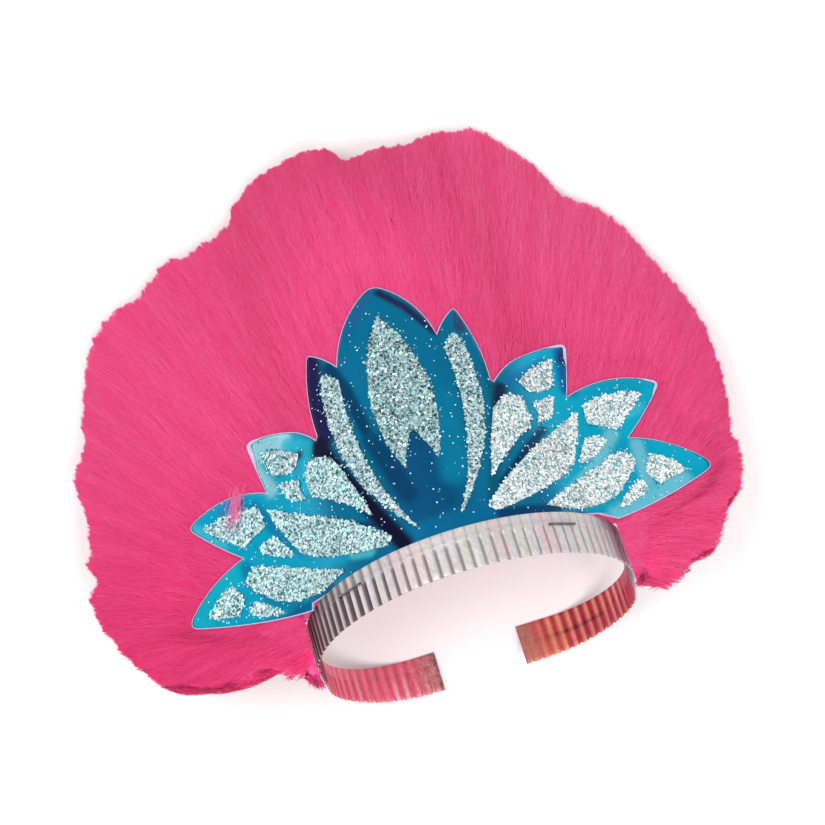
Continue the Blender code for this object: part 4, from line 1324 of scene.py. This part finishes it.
def lobe_fringe(plume, rng, count):
    """Short fibres that hang from the low ends of the two lobes."""
    at_last = rng.uniform(size=count) < 0.5
    u = np.where(at_last, plume.last, plume.first)
    back_along = np.where(at_last, -1.0, 1.0)
    v, deep = rng.uniform(-0.05, 0.95, count), rng.uniform(0.0, 1.0, (count, 1))

    def point(angles):
        front, back = plume.surface(angles, v, False), plume.surface(angles, v, True)
        return front + (back - front) * deep

    root = point(u + rng.uniform(0.5, 4.0, count) * back_along)
    way = unit(unit(point(u) - point(u + 3.0 * back_along)) + rng.normal(0.0, 0.22, (count, 3)))
    lengths = rng.uniform(*FRINGE_LENGTHS, (count, 1, 1))
    spine = root[:, None, :] + way[:, None, :] * lengths * ALONG[..., None]
    return edge_fibres(rng, spine, way, deep, FRINGE_TONE, 0.08, FRINGE_THICKNESS, 0.4)


# How much lighter than its own shade a fibre is at each of its seven points, from root to tip.
LIGHTER_ALONG = np.array([(-0.1, -0.1, 0.0, 0.0, 0.05, 0.05, 0.1)])


def ribbons(name, combed, material):
    """One piece of flat tapering fibres: two quads and a pointed end each."""
    spine, across, shade, widths, shading = combed
    count = len(spine)
    half = across[:, None, :] * (widths / 2)[..., None]
    body = np.stack([spine[:, :-1] - half, spine[:, :-1] + half], axis=2).reshape(count, -1, 3)
    points = np.concatenate([body, spine[:, -1:]], axis=1)
    size = points.shape[1]
    base = np.arange(count)[:, None] * size
    quads = np.concatenate([base + np.array(row) for row in ((0, 1, 3, 2), (2, 3, 5, 4))])
    tips = base + np.array((4, 5, 6))
    values = np.clip(shade[:, None] + LIGHTER_ALONG, 0, 1).ravel()
    normals = np.repeat(directions_to_world(shading), size, axis=0)
    obj = mesh_object(name, to_world(points.reshape(-1, 3)), (quads, tips), material, point_values=values,
                      normals=normals)
    place(obj, "marabou")


WISP_START = (-88.0, 69.0)
WISP_END = (-97.0, 53.0)
WISP_SPREAD = 3.4
WISPS = 46


def wisps(rng):
    """Loose fibres of the plume that fall forward over the plate's edge."""
    start = rng.normal(WISP_START, 0.7 * WISP_SPREAD, (WISPS, 2))[:, None, :]
    end = rng.normal(WISP_END, WISP_SPREAD, (WISPS, 2))[:, None, :]
    flat = start * (1 - ALONG[..., None]) + end * ALONG[..., None]
    x = flat[..., 0] + np.sin(np.pi * ALONG) * rng.normal(0.0, 1.2, (WISPS, 1))
    spine = bend(x, flat[..., 1], rng.uniform(2.2, 3.4, (WISPS, 1)) - 0.6 * ALONG)
    angle = card_angle(x[:, 0])
    normal = np.stack([np.sin(angle), -np.cos(angle), 0.0 * angle], axis=-1)
    across = unit(np.cross(spine[:, -1] - spine[:, 0], normal))
    widths = tapered(rng, WISPS, 1.0, 0.14, 0.26)
    return spine, across, rng.uniform(0.75, 1.0, WISPS), widths, normal


# The grid in which the plate's outline is kept for the fibres: its cells, corner, size and grown margin.
MASK_CELL = 0.5
MASK_LOW = (-135.0, -20.0)
MASK_SIZE = (540, 310)
MASK_MARGIN = 2


def plate_mask(outline):
    """A test for places that lie on the plate or within a margin of its outline."""
    axes = [low + (np.arange(size) + 0.5) * MASK_CELL for low, size in zip(MASK_LOW, MASK_SIZE)]
    grid_x, grid_z = np.meshgrid(*axes, indexing="ij")
    held = inside(outline, grid_x.ravel(), grid_z.ravel()).reshape(MASK_SIZE)
    for step in range(MASK_MARGIN):
        held = np.any([held, *(np.roll(held, way, axis) for way in (1, -1) for axis in (0, 1))], axis=0)

    def hidden(x, z):
        cells = [np.floor((row - low) / MASK_CELL).astype(int) for row, low in zip((x, z), MASK_LOW)]
        valid = np.all([(row >= 0) & (row < size) for row, size in zip(cells, MASK_SIZE)], axis=0)
        return valid & held[tuple(np.clip(row, 0, size - 1) for row, size in zip(cells, MASK_SIZE))]

    return hidden


# The combed layers of down, in the order in which they are made.
DOWN_LAYERS = (
    # name, fibres, on the back, where along the rays, lengths, lift, thickness, kept under the plate, inward
    ("down_front_1", 35000, False, (0.03, 1.0), (15.0, 30.0), 1.3, 0.34, True, False),
    ("down_front_2", 35000, False, (0.03, 1.0), (15.0, 30.0), 1.3, 0.34, True, False),
    ("down_back", 36000, True, (0.0, 1.0), (16.0, 32.0), 1.8, 0.5, False, False),
    ("down_rim", 20000, False, (0.88, 0.99), (6.0, 12.0), 1.8, 0.3, False, False),
    ("down_by_band", 7000, False, (0.0, 0.25), (5.0, 10.0), 1.2, 0.4, False, True),
)


def build_plume(rng, outline):
    plume = Plume(outline)
    build_core(plume, down_material("down_core", core=True))
    material = down_material("marabou_down")
    mask = plate_mask(outline)
    for name, *settings, masked, inward in DOWN_LAYERS:
        ribbons(name, comb(plume, rng, *settings, mask if masked else None, inward), material)
    ribbons("down_edge", rim_fluff(plume, rng, EDGE_FIBRES), material)
    ribbons("down_wisps", wisps(rng), material)
    ribbons("down_lobe_ends", lobe_fringe(plume, rng, FRINGE_FIBRES), material)


# The stage

FLOOR_HALF = 4.0
WORLD_STRENGTH = 0.8
LIGHTS = (
    # name, place, target, size, power
    ("key", (-0.35, 0.4, 1.35), (0, 0, 0.05), 0.7, 8.5),
    ("fill", (0.3, -0.6, 1.3), (0, -0.05, 0.05), 0.9, 8.0),
)


def build_stage():
    corners = [(x * FLOOR_HALF, y * FLOOR_HALF, 0) for x, y in ((-1, -1), (1, -1), (1, 1), (-1, 1))]
    floor = mesh_object("floor", corners, (np.array([[0, 1, 2, 3]]),), floor_material())
    world = bpy.data.worlds.new("studio")
    world.use_nodes = True
    background = world.node_tree.nodes["Background"]
    background.inputs["Color"].default_value = (1.0, 1.0, 1.0, 1.0)
    background.inputs["Strength"].default_value = WORLD_STRENGTH
    scene.world = world
    for name, at, target, size, power in LIGHTS:
        data = bpy.data.lights.new(name, "AREA")
        data.shape = "DISK"
        data.size = size
        data.energy = power
        light = bpy.data.objects.new(name, data)
        light.location = at
        light.rotation_euler = (Vector(target) - Vector(at)).to_track_quat("-Z", "Y").to_euler()
        scene.collection.objects.link(light)


CAMERA_TILT = math.radians(24.0)
CAMERA_ROLL = (0.9542, 0.2990)
CAMERA_PLACE = (0.85, -1027.3, -397.1)
CAMERA_LENS = 107.5
CAMERA_SENSOR = 36.0
CAMERA_CLIP = (0.01, 20.0)


def build_camera():
    """The photograph's view: from in front of the band and below it, with the tiara turned a little."""
    rise = np.array((0.0, -math.sin(CAMERA_TILT), math.cos(CAMERA_TILT)))
    level = np.array((1.0, 0.0, 0.0))
    right = CAMERA_ROLL[0] * level - CAMERA_ROLL[1] * rise
    up = CAMERA_ROLL[1] * level + CAMERA_ROLL[0] * rise
    axes = directions_to_world(np.stack([right, up, np.cross(right, up)]))
    data = bpy.data.cameras.new("camera")
    data.sensor_width = CAMERA_SENSOR
    data.lens = CAMERA_LENS
    data.clip_start, data.clip_end = CAMERA_CLIP
    camera = bpy.data.objects.new("camera", data)
    matrix = np.identity(4)
    matrix[:3, :3] = axes.T
    matrix[:3, 3] = to_world([CAMERA_PLACE])[0]
    camera.matrix_world = Matrix(matrix)
    scene.collection.objects.link(camera)
    scene.camera = camera


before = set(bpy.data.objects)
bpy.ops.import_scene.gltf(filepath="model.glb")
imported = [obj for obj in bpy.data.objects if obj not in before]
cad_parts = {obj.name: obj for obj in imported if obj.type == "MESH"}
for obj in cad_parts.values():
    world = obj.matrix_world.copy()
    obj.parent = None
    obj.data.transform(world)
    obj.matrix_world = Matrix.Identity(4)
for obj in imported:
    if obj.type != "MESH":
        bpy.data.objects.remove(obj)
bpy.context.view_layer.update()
scene = bpy.context.scene
scene.view_settings.view_transform = "Standard"
scene.view_settings.look = "None"

build_camera()
build_stage()
plate = plate_outline()
build_plate(plate)
build_band()
build_glitter(np.random.default_rng(GLITTER_SEED), plate)
build_plume(np.random.default_rng(PLUME_SEED), plate)
steel = staple_material()
for node in ("staple_left", "staple_right"):
    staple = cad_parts[node]
    staple.data.materials.clear()
    staple.data.materials.append(steel)
